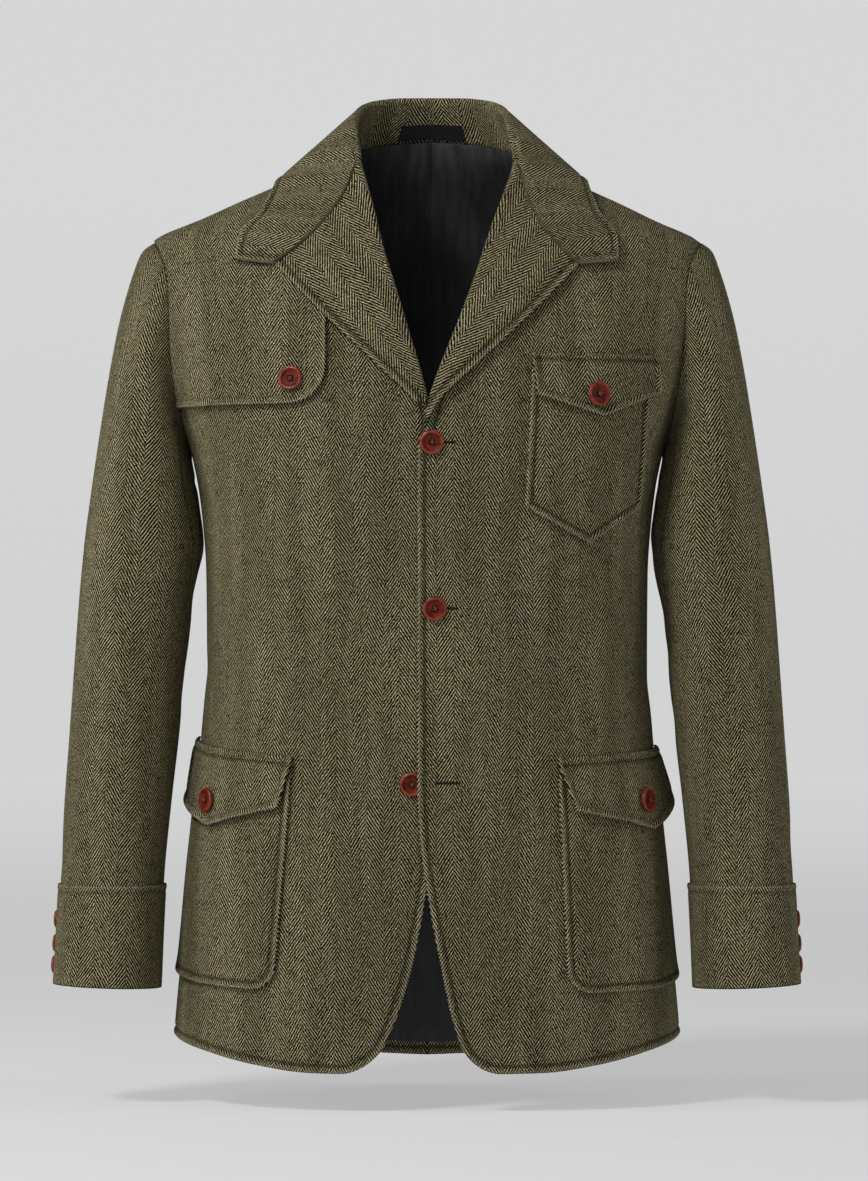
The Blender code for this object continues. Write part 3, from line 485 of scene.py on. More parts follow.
def keepWeave(mesh, weave, wearAndPaintedLight):
    # every vertex keeps its place in the weave, and its wear with painted highlight and painted shade
    spots = np.empty(len(mesh.vertices), dtype=np.int32)
    mesh.attributes["order"].data.foreach_get("value", spots)
    mesh.attributes.remove(mesh.attributes["order"])
    values = np.concatenate([weave.reshape(-1, 2), wearAndPaintedLight.reshape(-1, 1)], axis=1)[spots]
    kept = mesh.attributes.new("weave", "FLOAT_VECTOR", "POINT")
    kept.data.foreach_set("vector", values.astype(np.float32).ravel())


def declare(piece, node=None):
    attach(piece, "root")
    if node:
        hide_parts(node)


def roundedEdge(away):
    return np.sqrt(np.clip(1 - (1 - np.clip(away / edgeLook["rim"], 0, 1)) ** 2, 0, 1))


def clothPiece(node, cloth, points, normals, weave, stitched=(), free=(), puff=1.0, groove=1.0,
               lift=0.0, fold=None, held="hung", restsOn=()):
    thick, look, ending, slotName = cloths[cloth]

    def away(edges):
        return distanceTo(points, borderOf(points, edges))

    toSeam, toFree, toStitch = away(edgeNames), away(tuple(stitched) + tuple(free)), away(stitched)
    thinned = edgeLook["rimLeast"] + (1 - edgeLook["rimLeast"]) * roundedEdge(toFree)
    dipped = 1 - edgeLook["seamDip"] * (1 - roundedEdge(toSeam))
    half = thick / 2 * np.minimum(thinned, dipped)
    inGroove = bell(toStitch - edgeLook["inset"], edgeLook["grooveWidth"])
    raised = puff * edgeLook["puff"] * bell(toStitch - edgeLook["puffPlace"], edgeLook["puffWidth"])
    risen = np.clip(toFree / edgeLook["freeRise"], 0, 1)
    raised = (raised - groove * edgeLook["groove"] * inGroove) * risen
    unsewn = [edge for edge in edgeNames if edge not in stitched]
    settled = bell(away(unsewn), edgeLook["settleWidth"]) if lift else 0
    curl = lift * bell(toStitch, edgeLook["liftWidth"]) * (1 - settled)
    inFold = 0 if fold is None else bell(distanceTo(points, [points[fold]]), edgeLook["foldWidth"])
    outer = points + normals * (half + raised - edgeLook["fold"] * inFold + curl)[..., None]
    inner = points - normals * (half - curl)[..., None]
    piece = finished(f"{node}_{ending}", thinShell(outer, inner), [look])
    # third weave channel: up for wear and a painted highlight on raised edges, down for painted shade in
    # stitch grooves, along every edge and seam, and in folds
    wearAndPaintedLight = bell(toStitch - edgeLook["wearHighlightPlace"], edgeLook["wearHighlightWidth"]) - groove * inGroove
    wearAndPaintedLight = wearAndPaintedLight - edgeLook["seamShade"] * bell(toSeam, edgeLook["seamShadeWidth"])
    keepWeave(piece.data, weave, wearAndPaintedLight - edgeLook["foldShade"] * inFold)
    declare(piece, node)
    area = shownArea(points)
    width, length = np.ptp(weave.reshape(-1, 2), axis=0) * mm
    if width * length < area:
        width = width * 1.01 * area / (width * length)
    print("cut", piece.name, (round(width * 100, 1), round(length * 100, 1), round(area * 1e4)))
    if stitched:
        stitchLines.append((points, normals, outer, stitched))


def finished(name, bm, looks):
    mesh = bpy.data.meshes.new(name)
    bm.to_mesh(mesh)
    bm.free()
    for look in looks:
        mesh.materials.append(look)
    mesh.shade_smooth()
    mesh.set_sharp_from_angle(angle=math.radians(70))
    piece = bpy.data.objects.new(name, mesh)
    bpy.context.collection.objects.link(piece)
    return piece


# Finishes


class Look:
    # one material, with short calls for its nodes
    def __init__(self, name):
        self.material = bpy.data.materials.new(name)
        self.material.use_nodes = True
        self.nodes = self.material.node_tree.nodes
        self.links = self.material.node_tree.links
        self.shader = self.nodes["Principled BSDF"]

    def join(self, value, socket):
        if isinstance(value, bpy.types.NodeSocket):
            self.links.new(value, socket)
        elif value is not None:
            socket.default_value = value

    def add(self, kind, settings=None, **values):
        node = self.nodes.new(kind)
        for key, value in (settings or {}).items():
            setattr(node, key, value)
        for key, value in values.items():
            self.join(value, node.inputs[key.replace("_", " ")])
        return node

    def vector(self, x, y, z=None):
        return self.add("ShaderNodeCombineXYZ", X=x, Y=y, Z=z).outputs[0]

    def sum(self, operation, a, b=None, c=None):
        node = self.nodes.new("ShaderNodeMath")
        node.operation = operation
        for value, socket in zip((a, b, c), node.inputs):
            self.join(value, socket)
        return node.outputs[0]

    def blend(self, share, a, b, kind="MIX"):
        node = self.nodes.new("ShaderNodeMix")
        node.data_type, node.blend_type = "RGBA", kind
        for value, socket in ((share, node.inputs[0]), (a, node.inputs[6]), (b, node.inputs[7])):
            self.join(value, socket)
        return node.outputs[2]

    def noise(self, vector, scale, detail=2.0, roughness=0.5):
        node = self.add("ShaderNodeTexNoise", Vector=vector, Scale=scale, Detail=detail,
                        Roughness=roughness)
        return node.outputs["Fac"]

    def range(self, value, low, high, to=(0.0, 1.0)):
        node = self.add("ShaderNodeMapRange", dict(interpolation_type="SMOOTHSTEP"), Value=value)
        for socket, number in zip(list(node.inputs)[1:5], (low, high, *to)):
            socket.default_value = number
        return node.outputs["Result"]

    def bump(self, height, distance, strength=1.0):
        node = self.add("ShaderNodeBump", Height=height, Distance=distance, Strength=strength)
        self.links.new(node.outputs["Normal"], self.shader.inputs["Normal"])

    def set(self, **values):
        for key, value in values.items():
            self.shader.inputs[key.replace("_", " ")].default_value = value


tweed = dict(
    column=13.2, slope=1.54, pitch=3.75,  # herringbone: column width, lines' rise and pitch
    wander=9.0, wobble=1.1, waver=1.0,  # how far columns and lines stray
    dash=2.1, fibre=1.7, speck=1.3,  # how strongly each breaks the lines up
    # scale, detail and roughness of each noise
    noises=dict(wander=(0.012, 1.0), wobble=(0.35, 2.0), fibre=(1.7, 2.0, 0.7), speck=(0.72, 1.0),
                fleck=(0.5, 3.0, 0.65), heather=(0.11, 3.0, 0.6), dash=(1.0, 1.0), band=(1.0, 2.0)),
    dashAlong=0.62, dashAcross=2.1, bandAcross=0.035, bandAlong=0.004,
    lit=0.84, bandShade=0.25, turnWidth=0.9, turnShade=0.14, wearAndHighlight=0.14, grooveShade=0.62,
    olive=(0.405, 0.360, 0.102, 1), grey=(0.385, 0.345, 0.275, 1), pale=(0.86, 0.81, 0.60, 1),
    dark=(0.0020, 0.0014, 0.0005, 1), brown=(0.0190, 0.0115, 0.0035, 1),
    sheen=0.03, nap=0.00035,
)


def tweedLook(name):
    look = Look(name)
    weave = look.add("ShaderNodeAttribute", dict(attribute_name="weave")).outputs["Vector"]
    u, v, edge = look.add("ShaderNodeSeparateXYZ", Vector=weave).outputs
    flat = look.vector(u, v)
    noises = tweed["noises"]
    wander, wobble = (look.noise(flat, *noises[part]) for part in ("wander", "wobble"))
    u = look.sum("MULTIPLY_ADD", wander, tweed["wander"], u)
    u = look.sum("MULTIPLY_ADD", wobble, tweed["wobble"], u)
    zigzag = look.sum("PINGPONG", u, tweed["column"])
    column = look.sum("FLOOR", look.sum("DIVIDE", u, tweed["column"]))
    odd = look.sum("MODULO", look.sum("ABSOLUTE", column), 2.0)
    rise = look.sum("MULTIPLY_ADD", zigzag, tweed["slope"], v)
    rise = look.sum("MULTIPLY_ADD", wobble, tweed["waver"], rise)
    phase = look.sum("MULTIPLY_ADD", odd, 0.5, look.sum("DIVIDE", rise, tweed["pitch"]))
    line = look.sum("SINE", look.sum("MULTIPLY", phase, 2 * math.pi))
    # the yarn shows in short dashes along each line
    along = look.sum("MULTIPLY_ADD", v, -0.84, look.sum("MULTIPLY", zigzag, 0.55))
    dashes = look.vector(look.sum("MULTIPLY", along, tweed["dashAlong"]),
                         look.sum("MULTIPLY", phase, tweed["dashAcross"]), column)
    dash = look.noise(dashes, *noises["dash"])
    fibre, specks, flecks, heather = (look.noise(flat, *noises[part])
                                      for part in ("fibre", "speck", "fleck", "heather"))
    tall = look.vector(look.sum("MULTIPLY", u, tweed["bandAcross"]),
                       look.sum("MULTIPLY", v, tweed["bandAlong"]))
    bands = look.noise(tall, *noises["band"])
    shown = look.sum("MULTIPLY", line, look.range(heather, 0.34, 0.66, (0.75, 1.2)))
    for part, share in ((dash, tweed["dash"]), (fibre, tweed["fibre"]), (specks, tweed["speck"])):
        shown = look.sum("MULTIPLY_ADD", look.sum("SUBTRACT", part, 0.5), share, shown)
    yarn = look.blend(look.range(flecks, 0.37, 0.60), tweed["olive"], tweed["grey"])
    paler = look.range(look.sum("ADD", fibre, specks), 1.06, 1.38, (0.0, 0.95))
    yarn = look.blend(paler, yarn, tweed["pale"])
    deep = look.blend(look.range(flecks, 0.38, 0.62), tweed["dark"], tweed["brown"])
    colour = look.blend(look.range(shown, 0.0, tweed["lit"]), deep, yarn)
    colour = look.blend(look.range(bands, 0.38, 0.62, (0.0, tweed["bandShade"])), colour, tweed["dark"])
    # the columns' turning lines, then wear with a painted highlight on raised edges, and painted shade in
    # grooves, seams and folds
    half, quarter = tweed["column"] / 2, tweed["column"] / 4
    turning = look.sum("ABSOLUTE", look.sum("SUBTRACT", look.sum("PINGPONG", u, half), quarter))
    turned = look.range(turning, quarter - tweed["turnWidth"], quarter, (0.0, tweed["turnShade"]))
    colour = look.blend(turned, colour, tweed["dark"])
    colour = look.blend(look.range(edge, 0.1, 1.0, (0.0, tweed["wearAndHighlight"])), colour, tweed["pale"])
    colour = look.blend(look.range(edge, -0.05, -0.9, (0.0, tweed["grooveShade"])), colour, tweed["dark"])
    look.join(colour, look.shader.inputs["Base Color"])
    look.bump(look.sum("MULTIPLY_ADD", fibre, 0.7, look.sum("MULTIPLY", shown, 0.8)), tweed["nap"], 0.8)
    look.set(Roughness=0.95, Specular_IOR_Level=0.02, Sheen_Weight=tweed["sheen"], Sheen_Roughness=0.6,
             Sheen_Tint=(0.9, 0.75, 0.35, 1))
    return look.material


# light is the tone of the lining's painted sheen streaks, dark its own black
satin = dict(twill=0.7, dark=(0.0060, 0.0060, 0.0063, 1), light=(0.024, 0.024, 0.0245, 1), sheen=0.10)


def liningLook(name):
    look = Look(name)
    weave = look.add("ShaderNodeAttribute", dict(attribute_name="weave")).outputs["Vector"]
    u, v, _ = look.add("ShaderNodeSeparateXYZ", Vector=weave).outputs
    twill = look.sum("SINE", look.sum("MULTIPLY", look.sum("ADD", u, v), 2 * math.pi / satin["twill"]))
    clouds = look.noise(weave, 0.02, 2.0)
    stretched = look.vector(look.sum("MULTIPLY", u, 0.12), look.sum("MULTIPLY", v, 0.018))
    paintedSheenStreaks = look.noise(stretched, 1.0, 3.0, 0.6)
    soft = look.sum("MULTIPLY_ADD", paintedSheenStreaks, 0.6, look.sum("MULTIPLY", clouds, 0.4))
    # lighter vertical streaks in the colour are painted sheen along soft folds; the same pattern also bumps
    # the surface
    colour = look.blend(look.range(soft, 0.4, 0.62), satin["dark"], satin["light"])
    look.join(colour, look.shader.inputs["Base Color"])
    look.bump(look.sum("MULTIPLY_ADD", soft, 6.0, twill), 0.00008, 0.5)
    look.set(Roughness=0.55, Sheen_Weight=satin["sheen"], Sheen_Roughness=0.4)
    return look.material


def buttonLook(name, dark, light, shine, roughness):
    look = Look(name)
    place = look.add("ShaderNodeTexCoord").outputs["Object"]
    marble = look.noise(place, 160.0, 3.0, 0.6)
    fineMarks = look.noise(place, 900.0, 2.0, 0.6)
    colour = look.blend(look.range(marble, 0.32, 0.68), dark, light)
    colour = look.blend(look.range(fineMarks, 0.55, 0.8, (0.0, 0.35)), colour, (0.03, 0.004, 0.002, 1))
    look.join(colour, look.shader.inputs["Base Color"])
    rough = look.range(fineMarks, 0.3, 0.8, (roughness, roughness + 0.1))
    look.join(rough, look.shader.inputs["Roughness"])
    look.bump(fineMarks, 0.00005, 0.4)
    look.set(Specular_IOR_Level=shine)
    return look.material


def plainLook(name, colour, roughness, scale, depth):
    look = Look(name)
    place = look.add("ShaderNodeTexCoord").outputs["Object"]
    twist = look.noise(place, scale, 2.0, 0.6)
    darker = tuple(part * 0.55 for part in colour[:3]) + (1,)
    look.join(look.blend(look.range(twist, 0.3, 0.7), darker, colour), look.shader.inputs["Base Color"])
    look.bump(twist, depth, 0.7)
    look.set(Roughness=roughness, Specular_IOR_Level=0.08, Sheen_Weight=0.1)
    return look.material


tweedCloth = tweedLook("olive_herringbone_tweed")
satinCloth = liningLook("black_satin_lining")
horn = buttonLook("red_brown_button", (0.125, 0.0130, 0.0045, 1), (0.225, 0.0280, 0.0090, 1), 0.4, 0.24)
hornDish = buttonLook("red_brown_button_dish", (0.060, 0.0065, 0.0025, 1), (0.150, 0.0170, 0.0060, 1),
                      0.12, 0.45)
edgeThread = plainLook("edge_thread", (0.115, 0.10, 0.055, 1), 0.8, 2500.0, 0.0001)
darkThread = plainLook("buttonhole_thread", (0.012, 0.009, 0.004, 1), 0.75, 2500.0, 0.0001)
redThread = plainLook("button_thread", (0.26, 0.055, 0.035, 1), 0.7, 2500.0, 0.0001)
holeShade = plainLook("button_hole_shade", (0.012, 0.004, 0.003, 1), 0.7, 2000.0, 0.00005)
blackTape = plainLook("black_label_tape", (0.012, 0.012, 0.014, 1), 0.6, 1800.0, 0.0001)
# thickness, finish, last word of the pieces' names, and slot
cloths = dict(
    tweed=(thickness["tweed"], tweedCloth, "tweed", "tweed"),
    patch=(thickness["patch"], tweedCloth, "tweed", "tweed"),
    turned=(thickness["turned"], tweedCloth, "tweed", "tweed"),
    lining=(thickness["lining"], satinCloth, "satin", "lining"),
    label=(thickness["label"], blackTape, "tape", "label"),
)
print("finishes made")


# Fronts, backs and lining

frontLayout = dict(
    columns=34, cornerHeight=30, cornerStep=2.2, step=6.5, armholeStep=8, upperStep=5.0,
    underlap=3.5, underlapZ=-213, underlapSpread=13, lapelGap=0.5,
)
backLayout = dict(columns=30, hemHeight=12, step=8.0, armholeStep=10, upperStep=6.0, topZ=-6)
liningLayout = dict(
    columns=40, starts=11.0, away=0.8,
    # soft lengthwise folds: depth, waves round the body, turn and lean
    folds=[(0.55, 21, 0, 0.25), (0.35, 47, 40, 0.1)], foldShare=0.7, foldsFrom=6,
    pleat=1.1, pleatShare=0.5, pleatWidth=1.3,
)


def armholeLevels(step):
    cosine = sineCosine(np.arange(0, 181, step))[1]
    return mix(body["armholeBottom"], body["armholeTop"], (1 - cosine) / 2)


def frontLevels():
    hem, corner = body["hem"], body["hem"] + frontLayout["cornerHeight"]
    top = neckEdge - plain[::-1]
    return levelsBetween(hem + fine, steppedLevels(hem + fine[-1], corner, frontLayout["cornerStep"]),
                         steppedLevels(corner, body["armholeBottom"], frontLayout["step"]),
                         armholeLevels(frontLayout["armholeStep"]),
                         steppedLevels(body["armholeTop"], top[0], frontLayout["upperStep"]), top)


def backLevels():
    start = body["hem"] + backLayout["hemHeight"]
    return levelsBetween(body["hem"] + fine,
                         steppedLevels(start, body["armholeBottom"], backLayout["step"]),
                         armholeLevels(backLayout["armholeStep"]),
                         steppedLevels(body["armholeTop"], backLayout["topZ"], backLayout["upperStep"]),
                         neckEdge - plain[::-1])


def frontStart(side):
    def angle(level):
        z = heightAt(level, 0)
        across = rollAcross(side, z) + rounding(level - body["hem"], body["cornerRadius"])
        if side == right:
            away = z - frontLayout["underlapZ"]
            across -= frontLayout["underlap"] * bell(away, frontLayout["underlapSpread"])
        return angleAtAcross(across + (frontLayout["lapelGap"] if z > body["breakZ"] else 0), z)

    return angle


def frontSide(level):
    return sideAngle(level, False)


def backSide(level):
    return sideAngle(level, True)


def backCentre(level):
    return 180 - angleAtAcross(meeting, heightAt(level, 180))


def makeFront(side):
    levels = frontLevels()
    angles = panelAngles(levels, frontStart(side), frontSide, fine, plain, frontLayout["columns"])
    points, normals = onFront(side, angles, heightAt(levels[:, None], angles))
    weave = weaveFrom(points, normals, uStart=points[:, 0, 0] * side)
    clothPiece(f"front_{sideName[side]}", "tweed", points, normals, weave, stitched=("low", "start"))


def makeBack(side):
    levels = backLevels()
    angles = panelAngles(levels, backSide, backCentre, plain, plain, backLayout["columns"])
    points, normals = onBody(side, angles, heightAt(levels[:, None], angles))
    weave = weaveFrom(points, normals, fromEnd=True)
    clothPiece(f"back_{sideName[side]}", "tweed", points, normals, weave, stitched=("low",))


def makeLining(side):
    levels = backLevels()
    start = body["hem"] + liningLayout["starts"]
    levels = levelsBetween([start, start + 0.8], levels[levels > start + 1])
    angles = panelAngles(levels, backSide, backCentre, plain, plain, liningLayout["columns"])
    heights = heightAt(levels[:, None], angles)
    points, normals = onBody(side, angles, heights, -liningDepth)
    waves = sum(depth * np.sin(np.radians(angles * count + turn + heights * lean))
                for depth, count, turn, lean in liningLayout["folds"])
    toCentre = 180 - angles
    waves = waves * ease(toCentre / liningLayout["foldsFrom"]) * liningLayout["foldShare"]
    pleat = liningLayout["pleat"] * bell(toCentre, liningLayout["pleatWidth"])
    away = liningLayout["away"] + waves - pleat * liningLayout["pleatShare"]
    points = points - normals * away[..., None]
    weave = weaveFrom(points, normals, fromEnd=True)
    clothPiece(f"lining_{sideName[side]}", "lining", points, normals, weave,
               restsOn=[f"back_{sideName[side]}_tweed"])


# Lapels

lapel = dict(
    edge=[(-3, -231), (7, -209), (40, -176), (82, -136), (123, -93)],
    gorgeBend=(-11, -2), swell=2.0, notch=0.72, starts={left: 0.09, right: 0.155},
    rollLength=245.0, grain=56.0, rows=46, falls=22,
)
shareStep = 0.02  # over which a direction along a seam or roll line is measured
edgePlaces = np.array(lapel["edge"], float)
edgeShares = alongRow(edgePlaces)
edgeShares = edgeShares / edgeShares[-1]
lapelEdgeAcross = curveThrough(list(zip(edgeShares, edgePlaces[:, 0])))
lapelEdgeZ = curveThrough(list(zip(edgeShares, edgePlaces[:, 1])))


def rollFrame(side, z):
    z = np.asarray(z, float)
    point, normal = atFront(side, rollAcross(side, z), z)
    above = atFront(side, rollAcross(side, z + 1), z + 1)[0]
    below = atFront(side, rollAcross(side, z - 1), z - 1)[0]
    along = unit(above - below)
    inward = side * unit(np.cross(normal, along))
    return point + normal * foldRadius, along, inward, normal


def turnSpots(centre, inward, outward, turns):
    # over the fold: turn 0 is under it and 180 on top of it
    turns = np.radians(turns)[:, None]
    radial = inward[..., None, :] * np.sin(turns) - outward[..., None, :] * np.cos(turns)
    return centre[..., None, :] + radial * foldRadius, radial


def fallSpots(side, share, reach):
    share, reach = np.broadcast_arrays(np.asarray(share, float), np.asarray(reach, float))
    z = mix(body["breakZ"], body["gorgeZ"], share)
    bend = 4 * reach * (1 - reach) * share**2
    across = mix(rollAcross(side, z), lapelEdgeAcross(share), reach) + lapel["gorgeBend"][0] * bend
    z = mix(z, lapelEdgeZ(share), reach) + lapel["gorgeBend"][1] * bend
    swell = lapel["swell"] * np.sin(np.pi * reach) * np.sin(np.pi * share)
    points, normals = atFront(side, across, z, lapelHeight + swell)
    return points, normals, stack(across, z)


def grainWeave(flat, degrees, side):
    # flat places turned so that the lengthwise yarns lie at that angle below the level
    turn = math.radians(degrees)
    lengthwise = np.array([math.cos(turn), -math.sin(turn)])
    crosswise = np.array([math.sin(turn), math.cos(turn)])
    flat = flat * np.array([-1, 1])
    return np.stack([flat @ crosswise * side, flat @ lengthwise], -1)


def gorgeSpots(side, shift, reaches):
    # down the gorge seam, moved along the body towards the collar
    points, normals, flat = fallSpots(side, 1.0, reaches)
    before = fallSpots(side, 1.0, reaches - shareStep)[0]
    away = side * unit(np.cross(normals, points - before))
    return points + away * shift, normals, flat


turnSteps = np.linspace(0, 180, 9)
fallStart = np.array([0, 2.0, 4.5])  # distances from the fold


def makeLapel(side):
    starts = lapel["starts"][side]
    length = lapel["rollLength"] * (1 - starts)
    shares = mix(starts, 1, spaced(length, fine[:5], plain, lapel["rows"]) / length)
    points, normals, flats = [], [], []
    for share in shares:
        z = mix(body["breakZ"], body["gorgeZ"], share)
        centre, along, inward, outward = rollFrame(side, z)
        turned, radial = turnSpots(centre, inward, outward, turnSteps)
        top = np.array([float(rollAcross(side, z)), float(z)])
        inFlat = unit(np.array([side * inward[0], inward[2]]))
        flatTurn = top + inFlat * (foldRadius * np.radians(180 - turnSteps))[:, None]
        width = float(np.linalg.norm(fallSpots(side, share, 1.0)[2] - top))
        reaches = spaced(width, fallStart, fine, lapel["falls"])[1:] / width
        if share == 1:
            turned = turned - along * seam / 2
            fall, fallNormals, flat = gorgeSpots(side, -seam / 2, reaches)
        else:
            fall, fallNormals, flat = fallSpots(side, share, reaches)
        points.append(np.concatenate([turned, fall]))
        normals.append(np.concatenate([radial, fallNormals]))
        flats.append(np.concatenate([flatTurn, flat]))
    weave = grainWeave(np.array(flats), lapel["grain"], side)
    clothPiece(f"lapel_{sideName[side]}", "turned", np.array(points), np.array(normals), weave,
               stitched=("end",), lift=1.6, held="folded", restsOn=[f"front_{sideName[side]}_tweed"])


# Collar and label

collar = dict(
    sections=[  # share, middle of its turn x, y, z, edge's angle and height
        (0.00, 64.6, -54, -8, 41, -90),
        (0.10, 65.0, -45, 4, 43, -66),
        (0.22, 65.0, -30, 19, 51, -44),
        (0.36, 63.5, -8, 33, 64, -30),
        (0.52, 58.0, 18, 43, 94, -20),
        (0.68, 46.0, 38, 49, 128, -15),
        (0.84, 25.0, 51, 52, 155, -13),
        (1.00, 0.0, 56, 52.5, 180, -12),
    ],
    height=6.6, free=0.3, tip=(154, -90), standShortest=1.5, cleared=2, clearFade=14,
    gorgeShares=[0, 0.002, 0.006, 0.012, 0.02, 0.03, 0.04], rows=58, fallLength=75.0, falls=16, stands=9,
    neckMiddle=(4.0, 5.0, -60.0),
)
collarCurves = columnCurves(collar["sections"])


def collarTurn(side, share):
    x, y, z, _, _ = (curve(share) for curve in collarCurves)
    first = collar["sections"][0]
    centre = toSide(side, stack(x, y, z))
    start = toSide(side, np.array(first[1:4], float))
    gorge = rollFrame(side, body["gorgeZ"])[0]
    return centre + (gorge - start) * (1 - ease(share / collar["free"]))[..., None]


def clearOfBody(side, points, least):
    half, front, back, middle, power = (curve(points[..., 2]) for curve in bodyCurves)
    shift = toSide(side, stack(points[..., 0] * 0, points[..., 1] * 0, points[..., 2]))[..., 0]
    own = side * (points[..., 0] - shift)
    forwards = points[..., 1] < middle
    depth = np.where(forwards, front, back)
    across = (np.maximum(own, 0) / half) ** (power / 2)
    forward = np.abs((points[..., 1] - middle) / (depth - middle)) ** (power / 2)
    angle = np.degrees(np.arctan2(across, np.where(forwards, forward, -forward)))
    spot, normal = onBody(side, angle, points[..., 2])
    above = points[..., 2] - heightAt(0.0, angle)
    near = 1 - ease((above - collar["cleared"]) / collar["clearFade"])
    return points + normal * np.maximum(least - dot(normal, points - spot), 0) * near[..., None]


def collarEnd(side, reaches):
    # beyond the notch it goes straight to the collar's point
    shares = reaches[reaches <= lapel["notch"]]
    seamPoints = gorgeSpots(side, seam / 2, shares / lapel["notch"])[0]
    tip = atFront(side, *collar["tip"], collar["height"])[0]
    last = gorgeSpots(side, seam / 2, np.array([1.0]))[0][0]
    beyond = (reaches[reaches > lapel["notch"]] - lapel["notch"]) / (1 - lapel["notch"])
    return np.concatenate([seamPoints, mix(last, tip, beyond[:, None])])


def neckAngle(side, centre):
    middleX = toSide(side, np.array([0.0, 0.0, centre[2]]))[0]
    return math.degrees(math.atan2(abs(centre[0] - middleX), float(bodyCurves[3](0.0)) - centre[1]))


def collarRows(side, shares, reaches, standSteps):
    rows = []
    gorge = collarEnd(side, reaches)
    _, rollAlong, rollInward, rollOutward = rollFrame(side, body["gorgeZ"])
    gorgeTop = turnSpots(rollFrame(side, body["gorgeZ"])[0], rollInward, rollOutward, turnSteps)[0][-1]
    firstAngle, firstZ = collar["sections"][0][4:]
    first = onBody(side, firstAngle, firstZ, collar["height"])[0]
    for share in shares:
        centre = collarTurn(side, np.array(share))
        if share == 0:
            turned, _ = turnSpots(centre, rollInward, rollOutward, turnSteps)
            turned = turned + rollAlong * seam / 2
            foot = turned[0] - rollInward * collar["standShortest"]
            fall = gorge
        else:
            ahead = collarTurn(side, np.array(min(share + shareStep, 1.0)))
            behind = collarTurn(side, np.array(share - shareStep))
            along = unit(ahead - behind) if share < 1 else np.array([-side, 0.0, 0.0])
            angle = neckAngle(side, centre)
            foot, footNormal = onBody(side, angle, float(heightAt(0.0, angle)))
            outward = unit(footNormal - along * dot(footNormal, along))
            inward = side * np.cross(outward, along)
            turned, _ = turnSpots(centre, inward, outward, turnSteps)
            if np.linalg.norm(turned[0] - foot) < collar["standShortest"]:
                foot = turned[0] - inward * collar["standShortest"]
            near = float(1 - ease(share / collar["free"]))
            edgeAngle, edgeZ = (float(curve(share)) for curve in collarCurves[3:])
            edge = onBody(side, edgeAngle, edgeZ, collar["height"])[0] + (gorge[-1] - first) * near
            straight = mix(gorgeTop, gorge[-1], reaches[:, None])
            fall = mix(turned[-1], edge, reaches[:, None]) + (gorge - straight) * near
            fall = clearOfBody(side, fall, collar["height"])
        stand = mix(foot, turned[0], standSteps[:-1, None])
        rows.append(np.concatenate([stand, turned, fall]))
    return np.array(rows)


def gridNormals(points):
    down = np.gradient(points, axis=0)
    across = np.gradient(points, axis=1)
    return unit(np.cross(across, down))


def bandWeave(rows, top):
    # the band laid flat from the centre back, along its fold line
    fold = rows[:, top]
    along = unit(np.gradient(fold, axis=0))
    down = rows[:, -6] - fold
    down = unit(down - along * dot(down, along))
    bend = (np.diff(along, axis=0) * (down[1:] + down[:-1]) / 2).sum(-1)
    turn = -np.concatenate([[0], np.cumsum(bend)])
    forwards = np.exp(1j * turn)
    steps = np.linalg.norm(np.diff(fold, axis=0), axis=-1)
    flatFold = np.concatenate([[0], np.cumsum(steps * (forwards[1:] + forwards[:-1]) / 2)])
    offset = rows - fold[:, None]
    ahead, below = (dot(offset, way[:, None])[..., 0] for way in (along, down))
    flat = flatFold[:, None] + forwards[:, None] * (ahead - 1j * below)
    lengths = alongRow(rows)
    beyond = lengths[:, top:top + 1] - lengths
    flat = np.where(beyond > 0, flatFold[:, None] + 1j * beyond, flat)
    return stack(flat.real, flat.imag)


def makeCollar():
    shares = np.concatenate([collar["gorgeShares"], np.linspace(0.052, 1, collar["rows"])])
    length = collar["fallLength"]
    reaches = spaced(length, np.array([0, 2.2]), fine, collar["falls"])[1:] / length
    reaches = np.unique(np.concatenate([reaches, [lapel["notch"]]]))
    standSteps = np.linspace(0, 1, collar["stands"])
    rightRows, leftRows = (collarRows(side, shares, reaches, standSteps) for side in (right, left))
    points = np.concatenate([rightRows, leftRows[-2::-1]])
    normals = gridNormals(points)
    outwards = points[:, -1] - np.array(collar["neckMiddle"])
    if float((normals[:, -1] * outwards).sum()) < 0:
        normals = -normals
    top = len(standSteps) + len(turnSteps) - 2
    rightWeave, leftWeave = (bandWeave(rows[::-1], top) for rows in (rightRows, leftRows))
    weave = np.concatenate([rightWeave[::-1] * np.array([-1, 1]), leftWeave[1:]])
    notch = top + 1 + int(np.searchsorted(reaches, lapel["notch"] - 1e-6))
    stitched = ("end", ("low", notch), ("high", notch))
    clothPiece("collar", "turned", points, normals, weave, stitched=stitched, held="folded",
               restsOn=["back_left_tweed", "back_right_tweed"])
    return points, len(shares) - 1


label = dict(halfWidth=31.0, low=0.64, high=3.68, columns=30, rows=9, gap=0.5, inwards=(4.0, 0.0, 20.0))


def makeLabel(points, centre):
    # bare tape, sewn to the inside of the stand, between two of its rows
    u = alongRow(points[:, 0][None])[0]
    u = u - u[centre]
    columns = spaced(2 * label["halfWidth"], plain, plain, label["columns"]) - label["halfWidth"]
    rows = []
    for up in np.linspace(label["low"], label["high"], label["rows"]):
        line = mix(points[:, int(up)], points[:, int(up) + 1], up - int(up))
        rows.append(resampled(line, u, columns))
    place = np.array(rows)
    facing = gridNormals(place)
    facing = np.where(dot(facing, place - np.array(label["inwards"])) > 0, -facing, facing)
    place = place + facing * (thickness["turned"] / 2 + label["gap"] + thickness["label"] / 2)
    clothPiece("label", "label", place, facing, weaveFrom(place, facing), held="laid",
               restsOn=["collar_tweed"])


# Sleeves and cuffs

